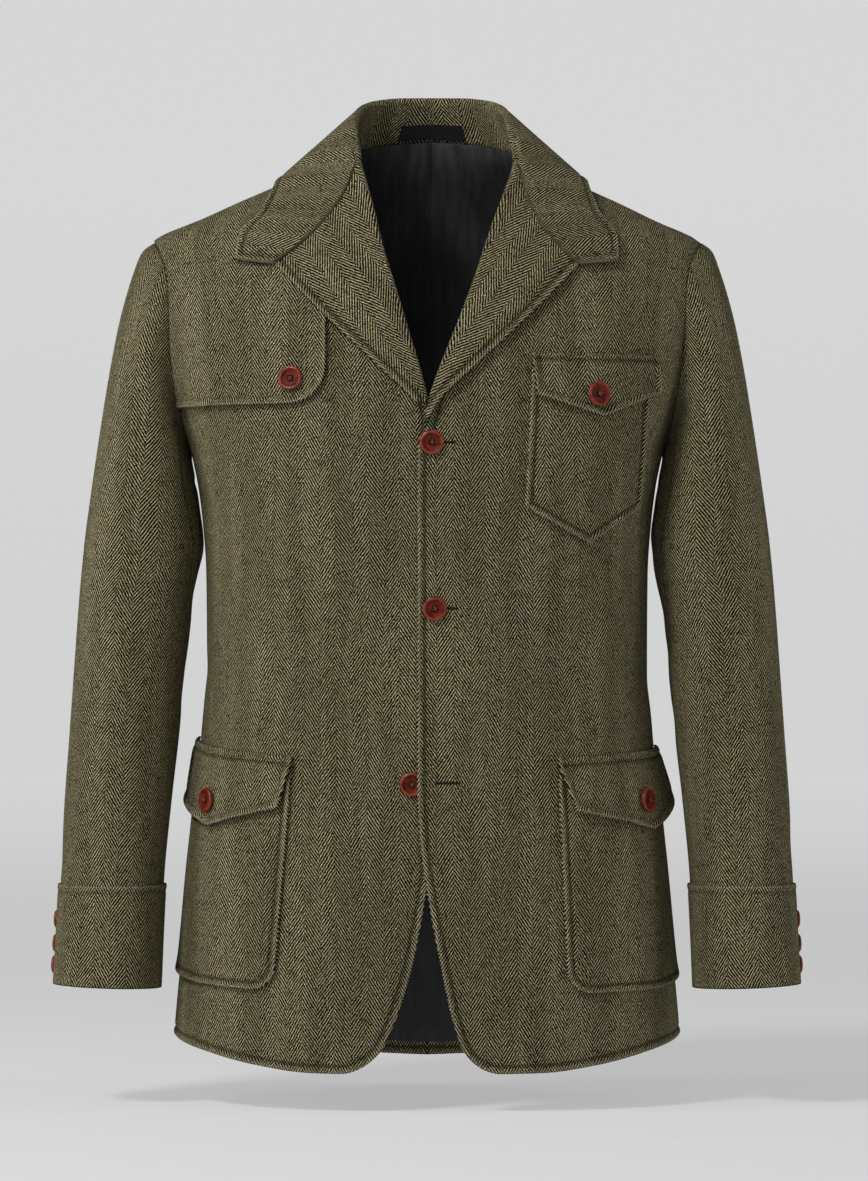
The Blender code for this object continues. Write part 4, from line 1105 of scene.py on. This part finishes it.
sleeve = dict(
    sections=[  # at, outer x and z, inner x and z, middle depth, front and back half depths
        (0, 228.0, -69, 196.5, -236, 15, 63, 62),
        (0.4, 237.0, -76, 197.0, -238, 14, 65, 64),
        (1, 243.5, -92, 197.5, -241, 13, 67, 66),
        (2, 253.5, -128, 197.0, -247, 11, 70, 70),
        (3, 262.5, -175, 195.5, -255, 9, 73, 72),
        (4, 270.0, -222, 193.0, -267, 7, 74, 72),
        (5, 277.0, -270, 189.8, -289, 5, 72, 70),
        (6, 283.5, -320, 186.4, -320, 2, 69, 67),
        (7, 288.0, -372, 195.5, -372, -2, 65, 63),
        (8, 291.5, -425, 201.0, -425, -8, 61, 59),
        (9, 295.0, -480, 206.5, -480, -15, 57, 55),
        (10, 298.5, -535, 212.5, -535, -23, 54, 52),
        (11, 300.5, -590, 217.5, -590, -31, 51, 50),
        (12, 302.5, -640, 220.0, -640, -38, 49, 48),
        (13, 304.5, -680, 221.5, -683, -44, 48, 47),
    ],
    end=13, power=2.2, free=3, twist=62, column=22.5, underSeams=(6, 11), round=16,
    columns=dict(under=16, top=36, cuff=52), cuffStarts=11.16, cuffSeam=7, cuffLength=95.0, cuffRows=9,
    rows=np.concatenate([[0, 0.012, 0.035, 0.07, 0.12, 0.2, 0.3, 0.42], np.arange(0.55, 3, 0.16),
                         np.arange(3, 11.1, 0.13), [11.16, 11.6, 12.0, 12.4, 12.8, 12.94, 12.98, 13.0]]),
    # how far each sleeve's creases move along it and round it, and where they start and stop
    creaseShift={left: (0.14, 9), right: (-0.11, -7)}, creasesFull=1.5, creasesStop=(10.8, 11.14),
    # at, turn, half length round it, width along it, depth, slant
    creases=[
        (6.2, 165, 60, 0.26, 1.5, 0.5),
        (6.9, 195, 58, 0.24, 1.3, -0.3),
        (7.7, 150, 66, 0.30, 1.6, 0.35),
        (8.5, 188, 50, 0.24, 1.0, -0.4),
        (9.6, 120, 58, 0.32, 0.9, 0.5),
        (2.6, 70, 44, 0.40, 1.5, 0.9),
        (3.1, 285, 46, 0.42, 1.6, -0.9),
        (4.2, 205, 40, 0.30, 1.2, 0.4),
        (10.6, 330, 60, 0.30, 0.8, 0.3),
    ],
)
sleeveCurves = columnCurves(sleeve["sections"])


def sleeveRing(at, turn):
    outerX, outerZ, innerX, innerZ, middle, front, back = (curve(at) for curve in sleeveCurves)
    sine, cosine = sineCosine(turn)
    share = (1 + signedPower(cosine, 2 / sleeve["power"])) / 2
    depth = np.where(sine > 0, front, back)
    y = middle - depth * signedPower(sine, 2 / sleeve["power"])
    return stack(mix(innerX, outerX, share), y, mix(innerZ, outerZ, share))


def sleeveStart(turn):
    # the sleeve's first ring, clear of the armhole's edge, and its normals
    point, normal = armholeSpot(turn)
    along = unit(armholeSpot(turn + turnStep)[0] - armholeSpot(turn - turnStep)[0])
    across = np.cross(normal, along)
    way = sleeveRing(1, turn) - sleeveRing(0, turn)
    way = unit(way - along * dot(way, along))
    own = np.cross(along, way)
    clear = (way + normal * (1 - dot(way, across)) / 2) * meeting
    return point + normal * halfTweed + clear - own * halfTweed, own


def sleeveMiddle(at, turn):
    at, turn = np.broadcast_arrays(np.asarray(at, float), np.asarray(turn, float))
    shaped = (1 - ease(at / sleeve["free"]))[..., None]
    return sleeveRing(at, turn) + (sleeveStart(turn)[0] - sleeveRing(0, turn)) * shaped


def sleeveCrease(side, at, turn):
    total = np.zeros(np.shape(at))
    lean, roundIt = sleeve["creaseShift"][side]
    for k, (where, around, reach, width, depth, slant) in enumerate(sleeve["creases"]):
        place = where + (lean if k % 2 else -lean)
        off = (turn - around - roundIt + 180) % 360 - 180
        near = np.clip(1 - (off / reach) ** 2, 0, 1)
        total -= depth * near * bell(at - place - slant * off / 90, width)
    return total


def onSleeve(side, at, turn, out=0.0):
    at, turn = np.broadcast_arrays(np.asarray(at, float), np.asarray(turn, float))
    around = sleeveMiddle(at, turn + turnStep) - sleeveMiddle(at, turn - turnStep)
    down = sleeveMiddle(at + shareStep, turn) - sleeveMiddle(np.maximum(at - shareStep, 0), turn)
    normal = unit(np.cross(around, down))
    normal = unit(mix(sleeveStart(turn)[1], normal, ease(at / 0.12)[..., None]))
    first, last = sleeve["creasesStop"]
    creased = ease(at / sleeve["creasesFull"]) * (1 - ease((at - first) / (last - first)))
    moved = out + sleeveCrease(side, at, turn) * creased
    points = toSide(side, sleeveMiddle(at, turn) + normal * moved[..., None])
    return points, normal * np.array([side, 1, 1])


def sleeveGrid(side, rows, first, last, near, far, count, out):
    turns = []
    for at in rows:
        twist = float(sleeve["twist"] * ease((at - sleeve["free"]) / (sleeve["end"] - sleeve["free"])))
        ends = [sleeve["column"] * column + twist for column in (first, last)]

        def placeAt(turn):
            return sleeveMiddle(at, turn)

        for i, facing in ((0, 1), (1, -1)):
            beside = placeAt(np.array(ends[i] + turnStep)) - placeAt(np.array(ends[i] - turnStep))
            ends[i] += facing * meeting * 2 * turnStep / np.linalg.norm(beside)
        turns.append(rowPlaces(placeAt, *ends, near, far, count))
    turns = np.array(turns)
    points, normals = onSleeve(side, rows[:, None], turns, out)
    return points, normals, turns


weaveFit = dict(ats=np.linspace(0, sleeve["end"], 92), turns=np.linspace(100, 600, 101), steps=700,
                straight=21, frontTurn=70, once=72)


def fittedTable(way, steps, weights):
    # the table whose steps agree best with the places' steps along that way, by conjugate gradients
    def spread(flows):
        total = np.zeros(way.shape[:2])
        total[1:] += flows[0]
        total[:-1] -= flows[0]
        total[:, 1:] += flows[1]
        total[:, :-1] -= flows[1]
        return total

    means = [(way[1:] + way[:-1]) / 2, (way[:, 1:] + way[:, :-1]) / 2]
    rest = spread([weight * (step * mean).sum(-1) for weight, step, mean in zip(weights, steps, means)])
    table, push = np.zeros(way.shape[:2]), rest.copy()
    now = (rest**2).sum()
    for _ in range(weaveFit["steps"]):
        pull = spread([weight * np.diff(push, axis=k) for k, weight in enumerate(weights)])
        pace = now / (push * pull).sum()
        table += pace * push
        rest = rest - pace * pull
        before, now = now, (rest**2).sum()
        push = rest + now / before * push
    return table - table[-1, weaveFit["frontTurn"]]


def sleeveTables():
    # crosswise and lengthwise places of the cloth, which fit best the way its yarns run at each spot
    places = sleeveMiddle(weaveFit["ats"][:, None], weaveFit["turns"][None, :])
    outwards = unit(np.cross(np.gradient(places, axis=1), np.gradient(places, axis=0)))
    middle = np.gradient(places[:, :weaveFit["once"]].mean(1), axis=0)
    middle[:weaveFit["straight"]] = middle[weaveFit["straight"]]
    middle = unit(middle)[:, None]
    grain = middle - outwards * dot(outwards, middle)
    clear = dot(grain, grain)[..., 0] + 0.01
    grain = unit(grain)
    across = np.cross(grain, outwards)
    across *= np.sign((across[:, :-1] * np.diff(places, axis=1)).sum())
    steps = [np.diff(places, axis=k) for k in (0, 1)]
    lengths = [np.linalg.norm(step, axis=-1) + 0.2 for step in steps]
    down, along = lengths[0].mean(1, keepdims=True), lengths[1].mean(0, keepdims=True)
    down = np.concatenate([down, down[-1:]])
    weights = [(clear[1:] + clear[:-1]) / 2 * along.mean() / lengths[0],
               (clear[:, 1:] + clear[:, :-1]) / 2 * down / lengths[1]]
    return [fittedTable(way, steps, weights) for way in (across, -grain)]


aroundTable, upTable = sleeveTables()


def sleeveWeave(rows, turns, shift=0.0):
    ats, allTurns = weaveFit["ats"], weaveFit["turns"]
    i = rows[:, None] / sleeve["end"] * (len(ats) - 1) + 0 * turns
    j = (turns - allTurns[0]) / (allTurns[1] - allTurns[0])
    return stack(between(aroundTable, i, j) + shift, between(upTable, i, j))


def makeSleeve(side):
    name = sideName[side]
    frontSeam, backSeam = sleeve["underSeams"]
    parts = dict(under=(frontSeam, backSeam), top=(backSeam, frontSeam + sleeve["round"]))
    for part, (first, last) in parts.items():
        points, normals, turns = sleeveGrid(side, sleeve["rows"], first, last, plain, plain,
                                            sleeve["columns"][part], 0)
        clothPiece(f"sleeve_{part}_{name}", "tweed", points, normals, sleeveWeave(sleeve["rows"], turns))
    length, first = sleeve["cuffLength"], sleeve["cuffSeam"]
    shares = spaced(length, fine, fine, sleeve["cuffRows"]) / length
    rows = mix(sleeve["cuffStarts"], sleeve["end"], shares)
    points, normals, turns = sleeveGrid(side, rows, first, first + sleeve["round"], plain, plain,
                                        sleeve["columns"]["cuff"], cuffHeight)
    clothPiece(f"cuff_{name}", "tweed", points, normals, sleeveWeave(rows, turns, 5.0), stitched=("low",),
               free=("high",), puff=0.5, groove=0.5, restsOn=[f"sleeve_top_{name}_tweed"])


# Gun patch, pockets and flaps

patch = dict(
    front=81, low=-206, corner=30, columns=24, inset=3.0, shoulderZ=-60, shoulderInset=4.0,
    shoulderDrop=0.4, dropStarts=-110, dropHeight=50, weaveShift=9.0,
    # above its rounded corner: where each stretch of rows ends, and its step
    cornerTop=-172, cornerStep=2.2, stretches=[(-75, 6.0), (-62, 1.6), (-22, 5.0)], last=[-17, -10.4],
)


def patchStart(level):
    z = heightAt(level, 0)
    return angleAtAcross(patch["front"] + rounding(z - patch["low"], patch["corner"]), z)


def patchEnd(level):
    z = heightAt(level, 90)
    inset = patch["inset"] if z < patch["shoulderZ"] else patch["shoulderInset"]
    return angleAtDepth(sideDepth(z, False) - inset, z)


def makeGunPatch():
    low, place = patch["low"], patch["cornerTop"]
    parts = [low + fine, steppedLevels(low + fine[-1], place, patch["cornerStep"])]
    for stretchEnd, step in patch["stretches"]:
        parts.append(steppedLevels(place, stretchEnd, step))
        place = stretchEnd
    levels = levelsBetween(*parts, patch["last"])
    angles = panelAngles(levels, patchStart, patchEnd, fine, fine, patch["columns"])
    heights = heightAt(levels[:, None], angles)
    toArm = np.linspace(1, 0, angles.shape[1]) ** 2
    high = ease((heights - patch["dropStarts"]) / patch["dropHeight"])
    drop = patch["shoulderDrop"] * high * (1 - toArm)
    points, normals = onFront(right, angles, heights, patchHeight - drop)
    weave = weaveFrom(points, normals, uStart=-points[:, 0, 0] + patch["weaveShift"])
    clothPiece("gun_patch", "patch", points, normals, weave, stitched=("low", "start"),
               free=("end", "high"), puff=2.0, groove=0.4, lift=2.4, held="laid",
               restsOn=["front_right_tweed"])


breast = dict(
    pocket=[(84.5, -178), (78.5, -289), (130, -319), (172, -289), (181, -178)],
    flap=[(84, -170), (87.2, -199), (140, -215.5), (186, -195), (186, -170)],
    size=(100.0, 120.0, 14, 18), flapSize=(104.0, 34.0, 16, 5),  # width, height, columns, rows
    swell=0.8, flapSwell=1.0, welt=5.0, weltHeight=0.3,
)
lower = dict(
    pockets={left: [(30, -507), (29.3, -684), (62, -683), (94, -676), (94, -503)],
             right: [(31.2, -507), (32.8, -681), (62, -678), (94, -671), (94, -499)]},
    flaps={left: [(29.8, -499), (34.4, -537), (65, -553.5), (95.5, -527), (95.5, -492)],
           right: [(30.9, -498), (34.4, -534), (61, -550), (95.5, -525), (95.5, -485)]},
    size=(205.0, 177.0, 30, 26), flapSize=(205.0, 50.0, 30, 8), corner=(6.5, 20),
    swell=2.5, flapSwell=1.0, flare={left: 6.0, right: 2.5}, flareStarts=55, welt=6.5, weltHeight=0.6,
)
# Above its fold line a flap's seam allowance is turned up and stitched down: rows and their heights
weltRows = np.array([0.6, 1.4, 2.4, 3.4, 4.2, 4.9]) / 4.9
weltShape = np.array([-1.0, 0.4, 1.5, 1.7, 1.0, -0.9]) * 0.8
pocketSewing = dict(stitched=("low", "start", "end"), puff=1.6, lift=0.9, held="laid")
flapSewing = dict(stitched=("low", "start", "end"), puff=1.8, groove=0.5, fold=-len(weltRows) - 1)


def dome(corners, across, z, amount):
    (_, top), (first, _), (_, low), (last, _), _ = corners
    for share in ((across - first) / (last - first), (z - low) / (top - low)):
        amount = amount * np.sin(np.pi * np.clip(share, 0, 1))
    return amount


def fiveSided(corners, widths, heights, corner=(0, 0)):
    topFront, lowFront, point, lowBack, topBack = (np.array(place, float) for place in corners)
    share, up = widths[None, :, None], heights[:, None, None]
    bottom = np.where(share <= 0.5, mix(lowFront, point, 2 * share), mix(point, lowBack, 2 * share - 1))
    place = mix(bottom, mix(topFront, topBack, share), up)
    if corner[1]:
        cut = corner[0] / corner[1] * rounding(place[..., 1] - bottom[..., 1], corner[1])
        place[..., 0] += cut * (1 - 2 * share[..., 0])
    return place[..., 0], place[..., 1]


def patchSpacing(width, height, columns, rows, middle=True):
    widths = spaced(width, fine, fine, columns) / width
    if middle:  # a column on the lower point
        widths = np.unique(np.concatenate([widths, [0.5]]))
    return widths, spaced(height, fine, hidden, rows) / height


def withWelt(across, z, out, welt, height):
    across = np.concatenate([across, np.repeat(across[-1:], len(weltRows), axis=0)])
    z = np.concatenate([z, z[-1:] + (weltRows * welt)[:, None]])
    drop = (out[-1:] - height) * ease(weltRows * 1.2)[:, None]
    flattened = np.clip((1 - np.linspace(0, 1, out.shape[1])) * 9, 0.1, 1)
    return across, z, np.concatenate([out, out[-1:] - drop + weltShape[:, None] * flattened])


def makeLowerPocket(side):
    name = sideName[side]
    corners, flap = lower["pockets"][side], lower["flaps"][side]
    widths, heights = patchSpacing(*lower["size"], middle=False)
    # closer rows at the corners
    heights = np.unique(np.concatenate([heights, np.linspace(0.06, 0.14, 6)]))
    angle, z = fiveSided(corners, widths, heights, lower["corner"])
    points, normals = onBody(side, angle, z, pocketHeight + dome(corners, angle, z, lower["swell"]))
    clothPiece(f"pocket_{name}", "patch", points, normals, bodyWeave(angle, z, 5.0),
               restsOn=[f"front_{name}_tweed"], **pocketSewing)

    def flapOut(angle, z):
        back = ease((angle - lower["flareStarts"]) / (flap[3][0] - lower["flareStarts"]))
        low = ease((flap[4][1] - z) / (flap[4][1] - flap[3][1]))
        swell = dome(corners, angle, z, lower["swell"]) + dome(flap, angle, z, lower["flapSwell"])
        return pocketHeight + flapLift + swell + lower["flare"][side] * back * low

    angle, z = fiveSided(flap, *patchSpacing(*lower["flapSize"]))
    angle, z, out = withWelt(angle, z, flapOut(angle, z), lower["welt"],
                             patchHeight + lower["weltHeight"])
    points, normals = onBody(side, angle, z, out)
    clothPiece(f"pocket_flap_{name}", "patch", points, normals, bodyWeave(angle, z, -3.0), lift=2.8,
               restsOn=[f"pocket_{name}_tweed"], **flapSewing)
    return flapOut


def breastFlapOut(across, z):
    swell = dome(breast["pocket"], across, z, breast["swell"])
    return patchHeight + flapLift + (swell + dome(breast["flap"], across, z, breast["flapSwell"]))


def makeBreastPocket():
    corners = breast["pocket"]
    across, z = fiveSided(corners, *patchSpacing(*breast["size"]))
    points, normals = atFront(left, across, z, patchHeight + dome(corners, across, z, breast["swell"]))
    clothPiece("breast_pocket", "patch", points, normals, bodyWeave(angleAtAcross(across, z), z, 4.0),
               restsOn=["front_left_tweed"], **pocketSewing)
    across, z = fiveSided(breast["flap"], *patchSpacing(*breast["flapSize"]))
    across, z, out = withWelt(across, z, breastFlapOut(across, z), breast["welt"],
                              patchHeight + breast["weltHeight"])
    points, normals = atFront(left, across, z, out)
    clothPiece("breast_flap", "patch", points, normals, bodyWeave(angleAtAcross(across, z), z, -2.0),
               lift=2.4, restsOn=["breast_pocket_tweed"], **flapSewing)


# Buttons, buttonholes and stitching

button = dict(
    large=dict(radius=10.0, thickness=3.6, seat=0.5), small=dict(radius=7.5, thickness=3.0, seat=-0.1),
    # shares of the radius and of the thickness, up the outside and in over the rim
    profile=[(0.0, 0.0), (0.80, 0.0), (0.93, 0.08), (0.99, 0.3), (1.0, 0.55), (0.975, 0.8),
             (0.92, 0.95), (0.85, 1.0), (0.77, 0.96), (0.71, 0.84), (0.66, 0.7), (0.55, 0.62),
             (0.3, 0.58), (0.0, 0.57)],
    # shares of the radius, and the floor's of the thickness; a hole and the hollow have width and depth
    dish=0.74, floor=0.58, holesAt=0.17, hole=(0.10, 0.035), hollow=(0.28, 0.03),
    thread=0.048, shank=(0.22, 0.2),
    fronts=[(4, -237.5), (6.5, -371.5)], patch=(109, -186), breast=(136, -198), pocket=(172.5, -529),
    cuffAts=(11.75, 12.19, 12.63), cuffColumn=-14,
)
buttonFinishes = dict(rim=horn, shade=holeShade, thread=redThread, dish=hornDish)


def stitchMatrix(start, end, radius):
    start, end = Vector(start), Vector(end)
    along = end - start
    turn = along.to_track_quat("Z", "Y").to_matrix().to_4x4()
    size = Matrix.Diagonal((radius, radius, along.length / 2 + radius * 0.6, 1))
    return Matrix.Translation((start + end) / 2) @ turn @ size


def setFinish(faces, part):
    for face in faces:
        face.material_index = list(buttonFinishes).index(part)


def addBall(bm, matrix, part, around, up):
    made = bmesh.ops.create_uvsphere(bm, u_segments=around, v_segments=up, radius=1.0, matrix=matrix)
    setFinish({face for vertex in made["verts"] for face in vertex.link_faces}, part)


def threadAndShadeBeads(name, groups):
    # copies of one small bead, of thread or of painted shade, a material for each group of places
    bm = bmesh.new()
    bmesh.ops.create_uvsphere(bm, u_segments=5, v_segments=4, radius=1.0)
    bm.verts.ensure_lookup_table()
    bead = np.array([tuple(vertex.co) + (1,) for vertex in bm.verts])
    faces = [[vertex.index for vertex in face.verts] for face in bm.faces]
    bm.free()
    vertices, polygons, materials = [], [], []
    for number, (_, matrices) in enumerate(groups):
        for matrix in matrices:
            first = len(bead) * len(vertices)
            vertices.append(bead @ np.array(matrix).T[:, :3])
            polygons.extend([[first + i for i in face] for face in faces])
            materials.extend([number] * len(faces))
    mesh = bpy.data.meshes.new(name)
    mesh.from_pydata(np.concatenate(vertices).tolist(), [], polygons)
    for look, _ in groups:
        mesh.materials.append(look)
    mesh.polygons.foreach_set("material_index", materials)
    mesh.shade_smooth()
    piece = bpy.data.objects.new(name, mesh)
    bpy.context.collection.objects.link(piece)
    declare(piece)


def makeButton(name, node, kind, seat, turn=20.0):
    sizes = button[kind]
    radius, thick = sizes["radius"] * mm, sizes["thickness"] * mm
    bm = bmesh.new()
    profile = [bm.verts.new((share * radius, 0, up * thick)) for share, up in button["profile"]]
    edges = [bm.edges.new(pair) for pair in zip(profile, profile[1:])]
    bmesh.ops.spin(bm, geom=profile + edges, cent=(0, 0, 0), axis=(0, 0, 1), angle=2 * math.pi, steps=40,
                   use_merge=True)
    bmesh.ops.remove_doubles(bm, verts=bm.verts, dist=radius * 0.002)
    bmesh.ops.recalc_face_normals(bm, faces=bm.faces)
    middles = {face: face.calc_center_median() for face in bm.faces}
    setFinish([face for face, middle in middles.items()
               if middle.xy.length < button["dish"] * radius and middle.z > 0.5 * thick], "dish")
    floor = button["floor"] * thick
    offsets = (-button["holesAt"] * radius, button["holesAt"] * radius)
    holes = [Vector((x, y, floor)) for x in offsets for y in offsets]
    # the holes, then the dark hollow between them, in which the thread lies
    shades = [(hole, button["hole"], 10) for hole in holes] + [((0, 0, floor), button["hollow"], 20)]
    for place, (wide, high), around in shades:
        size = Matrix.Diagonal((radius * wide, radius * wide, radius * high, 1))
        addBall(bm, Matrix.Translation(place) @ size, "shade", around, 6)
    lift, thread = Vector((0, 0, radius * 0.05)), radius * button["thread"]
    for a, b in ((0, 3), (1, 2), (0, 3), (1, 2)):
        addBall(bm, stitchMatrix(holes[a] + lift, holes[b] + lift, thread), "thread", 6, 4)
        lift += Vector((radius * 0.02, -radius * 0.02, radius * 0.045))
    # the shank of thread under it
    wide, narrow = (radius * share for share in button["shank"])
    bmesh.ops.create_cone(bm, cap_ends=True, segments=10, radius1=wide, radius2=narrow, depth=0.5 * mm,
                          matrix=Matrix.Translation((0, 0, -0.2 * mm)))
    point, normal = (Vector(np.asarray(part, float).reshape(3)) for part in seat)
    facing = normal.to_track_quat("Z", "Y").to_matrix().to_4x4()
    facing = facing @ Matrix.Rotation(math.radians(turn), 4, "Z")
    matrix = Matrix.Translation((point + normal * sizes["seat"]) * mm) @ facing
    bmesh.ops.transform(bm, matrix=matrix, verts=bm.verts)
    declare(finished(name, bm, buttonFinishes.values()), node)


def makeButtons(flapOuts):
    for number, place in enumerate(button["fronts"], 1):
        seat = atFront(left, *place, halfTweed)
        makeButton(f"front_button_{number}", f"button_front_{number}", "large", seat, 20 + 25 * number)
    seat = atFront(right, -lowerButton["across"], lowerButton["z"], halfTweed)
    makeButton("front_button_3", "button_front_3", "large", seat)
    seat = atFront(right, *button["patch"], patchHeight + halfPatch)
    makeButton("gun_patch_button", "button_patch", "large", seat, 5)
    seat = atFront(left, *button["breast"], breastFlapOut(*map(np.array, button["breast"])) + halfPatch)
    makeButton("breast_button", "button_breast", "large", seat, 62)
    across, z = button["pocket"]
    angle = angleAtAcross(across, z)
    for side, name in sideName.items():
        seat = onBody(side, angle, z, flapOuts[side](angle, z) + halfPatch)
        makeButton(f"pocket_button_{name}", f"button_pocket_{name}", "large", seat, 33)
        for number, at in enumerate(button["cuffAts"], 1):
            seat = onSleeve(side, at, button["cuffColumn"], cuffHeight + halfTweed)
            ending = f"{name}_{number}"
            makeButton(f"cuff_button_{ending}", f"button_cuff_{ending}", "small", seat, 15 * number)


buttonhole = dict(
    length=19.5, width=2.0, slit=0.15, stitches=34, starts=-1.0, thread=0.3, slitShade=0.22,
    lowest=(7.0, -513.0), inner=1.12, outer=0.95, middle=1.02,  # heights of the stitches' ends and the slit
)


def makeButtonholes():
    # worked holes in the left front, level with each front button
    places = [(across + buttonhole["starts"], z) for across, z in button["fronts"]]
    places.append(buttonhole["lowest"])
    edges, slits = [], []
    shares = np.linspace(0, 1, buttonhole["stitches"])
    for across, z in places:
        along = across + shares * buttonhole["length"]
        for way in (-1, 1):
            starts = atFront(left, along, z + way * buttonhole["slit"], buttonhole["inner"])[0] * mm
            ends = atFront(left, along, z + way * buttonhole["width"] / 2, buttonhole["outer"])[0] * mm
            edges += [stitchMatrix(*pair, buttonhole["thread"] * mm) for pair in zip(starts, ends)]
        # the slit is a row of dark beads: painted shade in the cut
        slit = atFront(left, along[::3], z, buttonhole["middle"])[0] * mm
        slits += [stitchMatrix(*pair, buttonhole["slitShade"] * mm) for pair in zip(slit, slit[1:])]
    threadAndShadeBeads("front_buttonholes", [(darkThread, edges), (holeShade, slits)])


def insetLine(points, normals, edge, inset):
    # the line that far inside an edge
    name, first = edgeParts(edge)
    line, facing, third = fromEdge(points, name)[0], fromEdge(normals, name)[0], fromEdge(points, name)[3]
    line, facing, inwards = line[first:], facing[first:], (third - line)[first:]
    lengths = alongRow(line)
    wanted = np.arange(0.5, lengths[-1] - 0.5, 1.0)
    line, facing, inwards = (resampled(part, lengths, wanted) for part in (line, facing, inwards))
    side = unit(np.cross(unit(facing), unit(np.gradient(line, axis=0))))
    return line + np.where(dot(side, inwards) < 0, -side, side) * inset


def makeStitching():
    # beads along each stitched edge, kept as far from the piece's other stitched edges too
    beads = []
    inset, length = edgeLook["inset"], edgeLook["stitch"]
    for points, normals, outer, stitched in stitchLines:
        rows, columns = points.shape[:2]
        corner = (np.arange(rows - 1)[:, None] * columns + np.arange(columns - 1)).reshape(-1, 1)
        faces = corner + np.array([0, 1, columns + 1, columns])
        tree = BVHTree.FromPolygons((outer.reshape(-1, 3) * mm).tolist(), faces.tolist())
        borders = placesTree(borderOf(points, stitched))
        for edge in stitched:
            line = insetLine(points, normals, edge, inset)
            line = np.array([place for place in line if borders.find(place)[2] > inset - 0.25])
            if len(line) < 4:
                continue
            lengths = alongRow(line)
            for start in np.arange(0, lengths[-1] - length, length):
                ends = resampled(line, lengths, start + length * np.array([0.16, 0.84])) * mm
                hits = [tree.find_nearest(Vector(end), inset * mm)[0] for end in ends]
                if None not in hits and (hits[0] - hits[1]).length < 4 * mm:
                    beads.append(stitchMatrix(*hits, edgeLook["thread"] * mm))
    threadAndShadeBeads("edge_stitching", [(edgeThread, beads)])
    print("stitches", len(beads))


# Everything in order

for own in sideName:
    makeFront(own)
    makeBack(own)
    makeLining(own)
print("fronts, backs and lining made")
for own in sideName:
    makeLapel(own)
makeLabel(*makeCollar())
print("collar and lapels made")
for own in sideName:
    makeSleeve(own)
print("sleeves made")
makeGunPatch()
flapOuts = {own: makeLowerPocket(own) for own in sideName}
makeBreastPocket()
print("pockets and patch made")
makeButtons(flapOuts)
makeButtonholes()
makeStitching()
print("buttons and stitching made")


# Floor, light and camera

studio = dict(floorZ=-0.779, wallY=9.5, wallTop=4.0, bend=1.4, bendSteps=12, width=18.0, front=-16.0,
              floorGlow=0.425, wallGlow=0.55, glowFrom=0.8, glowTo=6.0, greys=(0.33, 0.34), sky=0.105)


def makeStage():
    floor, bend, corner = studio["floorZ"], studio["bend"], studio["wallY"] - studio["bend"]
    steps = [(studio["front"], floor)]
    for turn in np.linspace(0, math.pi / 2, studio["bendSteps"] + 1):
        steps.append((corner + bend * math.sin(turn), floor + bend * (1 - math.cos(turn))))
    steps.append((studio["wallY"], studio["wallTop"]))
    bm = bmesh.new()
    line = [bm.verts.new((-studio["width"] / 2, y, z)) for y, z in steps]
    edges = [bm.edges.new(pair) for pair in zip(line, line[1:])]
    made = bmesh.ops.extrude_edge_only(bm, edges=edges)["geom"]
    moved = [part for part in made if isinstance(part, bmesh.types.BMVert)]
    bmesh.ops.translate(bm, verts=moved, vec=(studio["width"], 0, 0))
    bmesh.ops.recalc_face_normals(bm, faces=bm.faces)
    if sum(face.normal.z for face in bm.faces) < 0:
        bmesh.ops.reverse_faces(bm, faces=bm.faces)
    look = Look("pale_backdrop")
    place = look.add("ShaderNodeTexCoord").outputs["Object"]
    greys = [(grey,) * 3 + (1,) for grey in studio["greys"]]
    mottled = look.blend(look.range(look.noise(place, 40.0), 0.3, 0.7), *greys)
    look.join(mottled, look.shader.inputs["Base Color"])
    depth = look.add("ShaderNodeSeparateXYZ", Vector=place).outputs[1]
    glows = [(studio[part],) * 3 + (1,) for part in ("floorGlow", "wallGlow")]
    glow = look.blend(look.range(depth, studio["glowFrom"], studio["glowTo"]), *glows)
    look.join(glow, look.shader.inputs["Emission Color"])
    look.set(Roughness=0.95, Emission_Strength=1.0, Specular_IOR_Level=0.0)
    finished("backdrop", bm, [look.material])


def addLight(name, place, target, size, power):
    data = bpy.data.lights.new(name, "AREA")
    data.shape, data.energy = "RECTANGLE", power
    data.size, data.size_y = size
    light = bpy.data.objects.new(name, data)
    light.location = place
    light.rotation_euler = (Vector(target) - Vector(place)).to_track_quat("-Z", "Y").to_euler()
    bpy.context.collection.objects.link(light)


def makeWorld():
    world = bpy.data.worlds.new("studio")
    world.use_nodes = True
    colour, strength = world.node_tree.nodes["Background"].inputs[:2]
    colour.default_value = (0.93, 0.95, 1.0, 1)
    strength.default_value = studio["sky"]
    bpy.context.scene.world = world
    bpy.context.scene.view_settings.view_transform = "Standard"


def makeCamera():
    data = bpy.data.cameras.new("camera")
    data.sensor_width = view["sensor"]
    data.lens = view["sensor"] * view["distance"] / view["tall"]
    data.clip_end = 100
    camera = bpy.data.objects.new("camera", data)
    camera.location = (view["across"], -view["distance"], view["height"])
    camera.rotation_euler = (math.radians(90), 0, 0)
    bpy.context.collection.objects.link(camera)
    bpy.context.scene.camera = camera


lights = dict(
    key=dict(place=(-1.7, -2.2, 2.2), target=(0, 0, -0.2), size=(0.8, 0.6), power=82),
    front=dict(place=(-0.5, -4.2, 0.6), target=(0, 0, -0.3), size=(1.2, 1.0), power=19),
    left=dict(place=(-3.0, -1.0, 0.6), target=(0, 0, -0.35), size=(0.8, 1.8), power=30),
    right=dict(place=(3.0, -0.6, 0.5), target=(0, 0, -0.35), size=(0.8, 1.8), power=20),
)
view = dict(distance=5.0, across=0.0058, height=-0.357, tall=0.98023, sensor=36.0)
makeStage()
for name, light in lights.items():
    addLight(f"{name}_light", **light)
makeWorld()
makeCamera()
print("studio made")
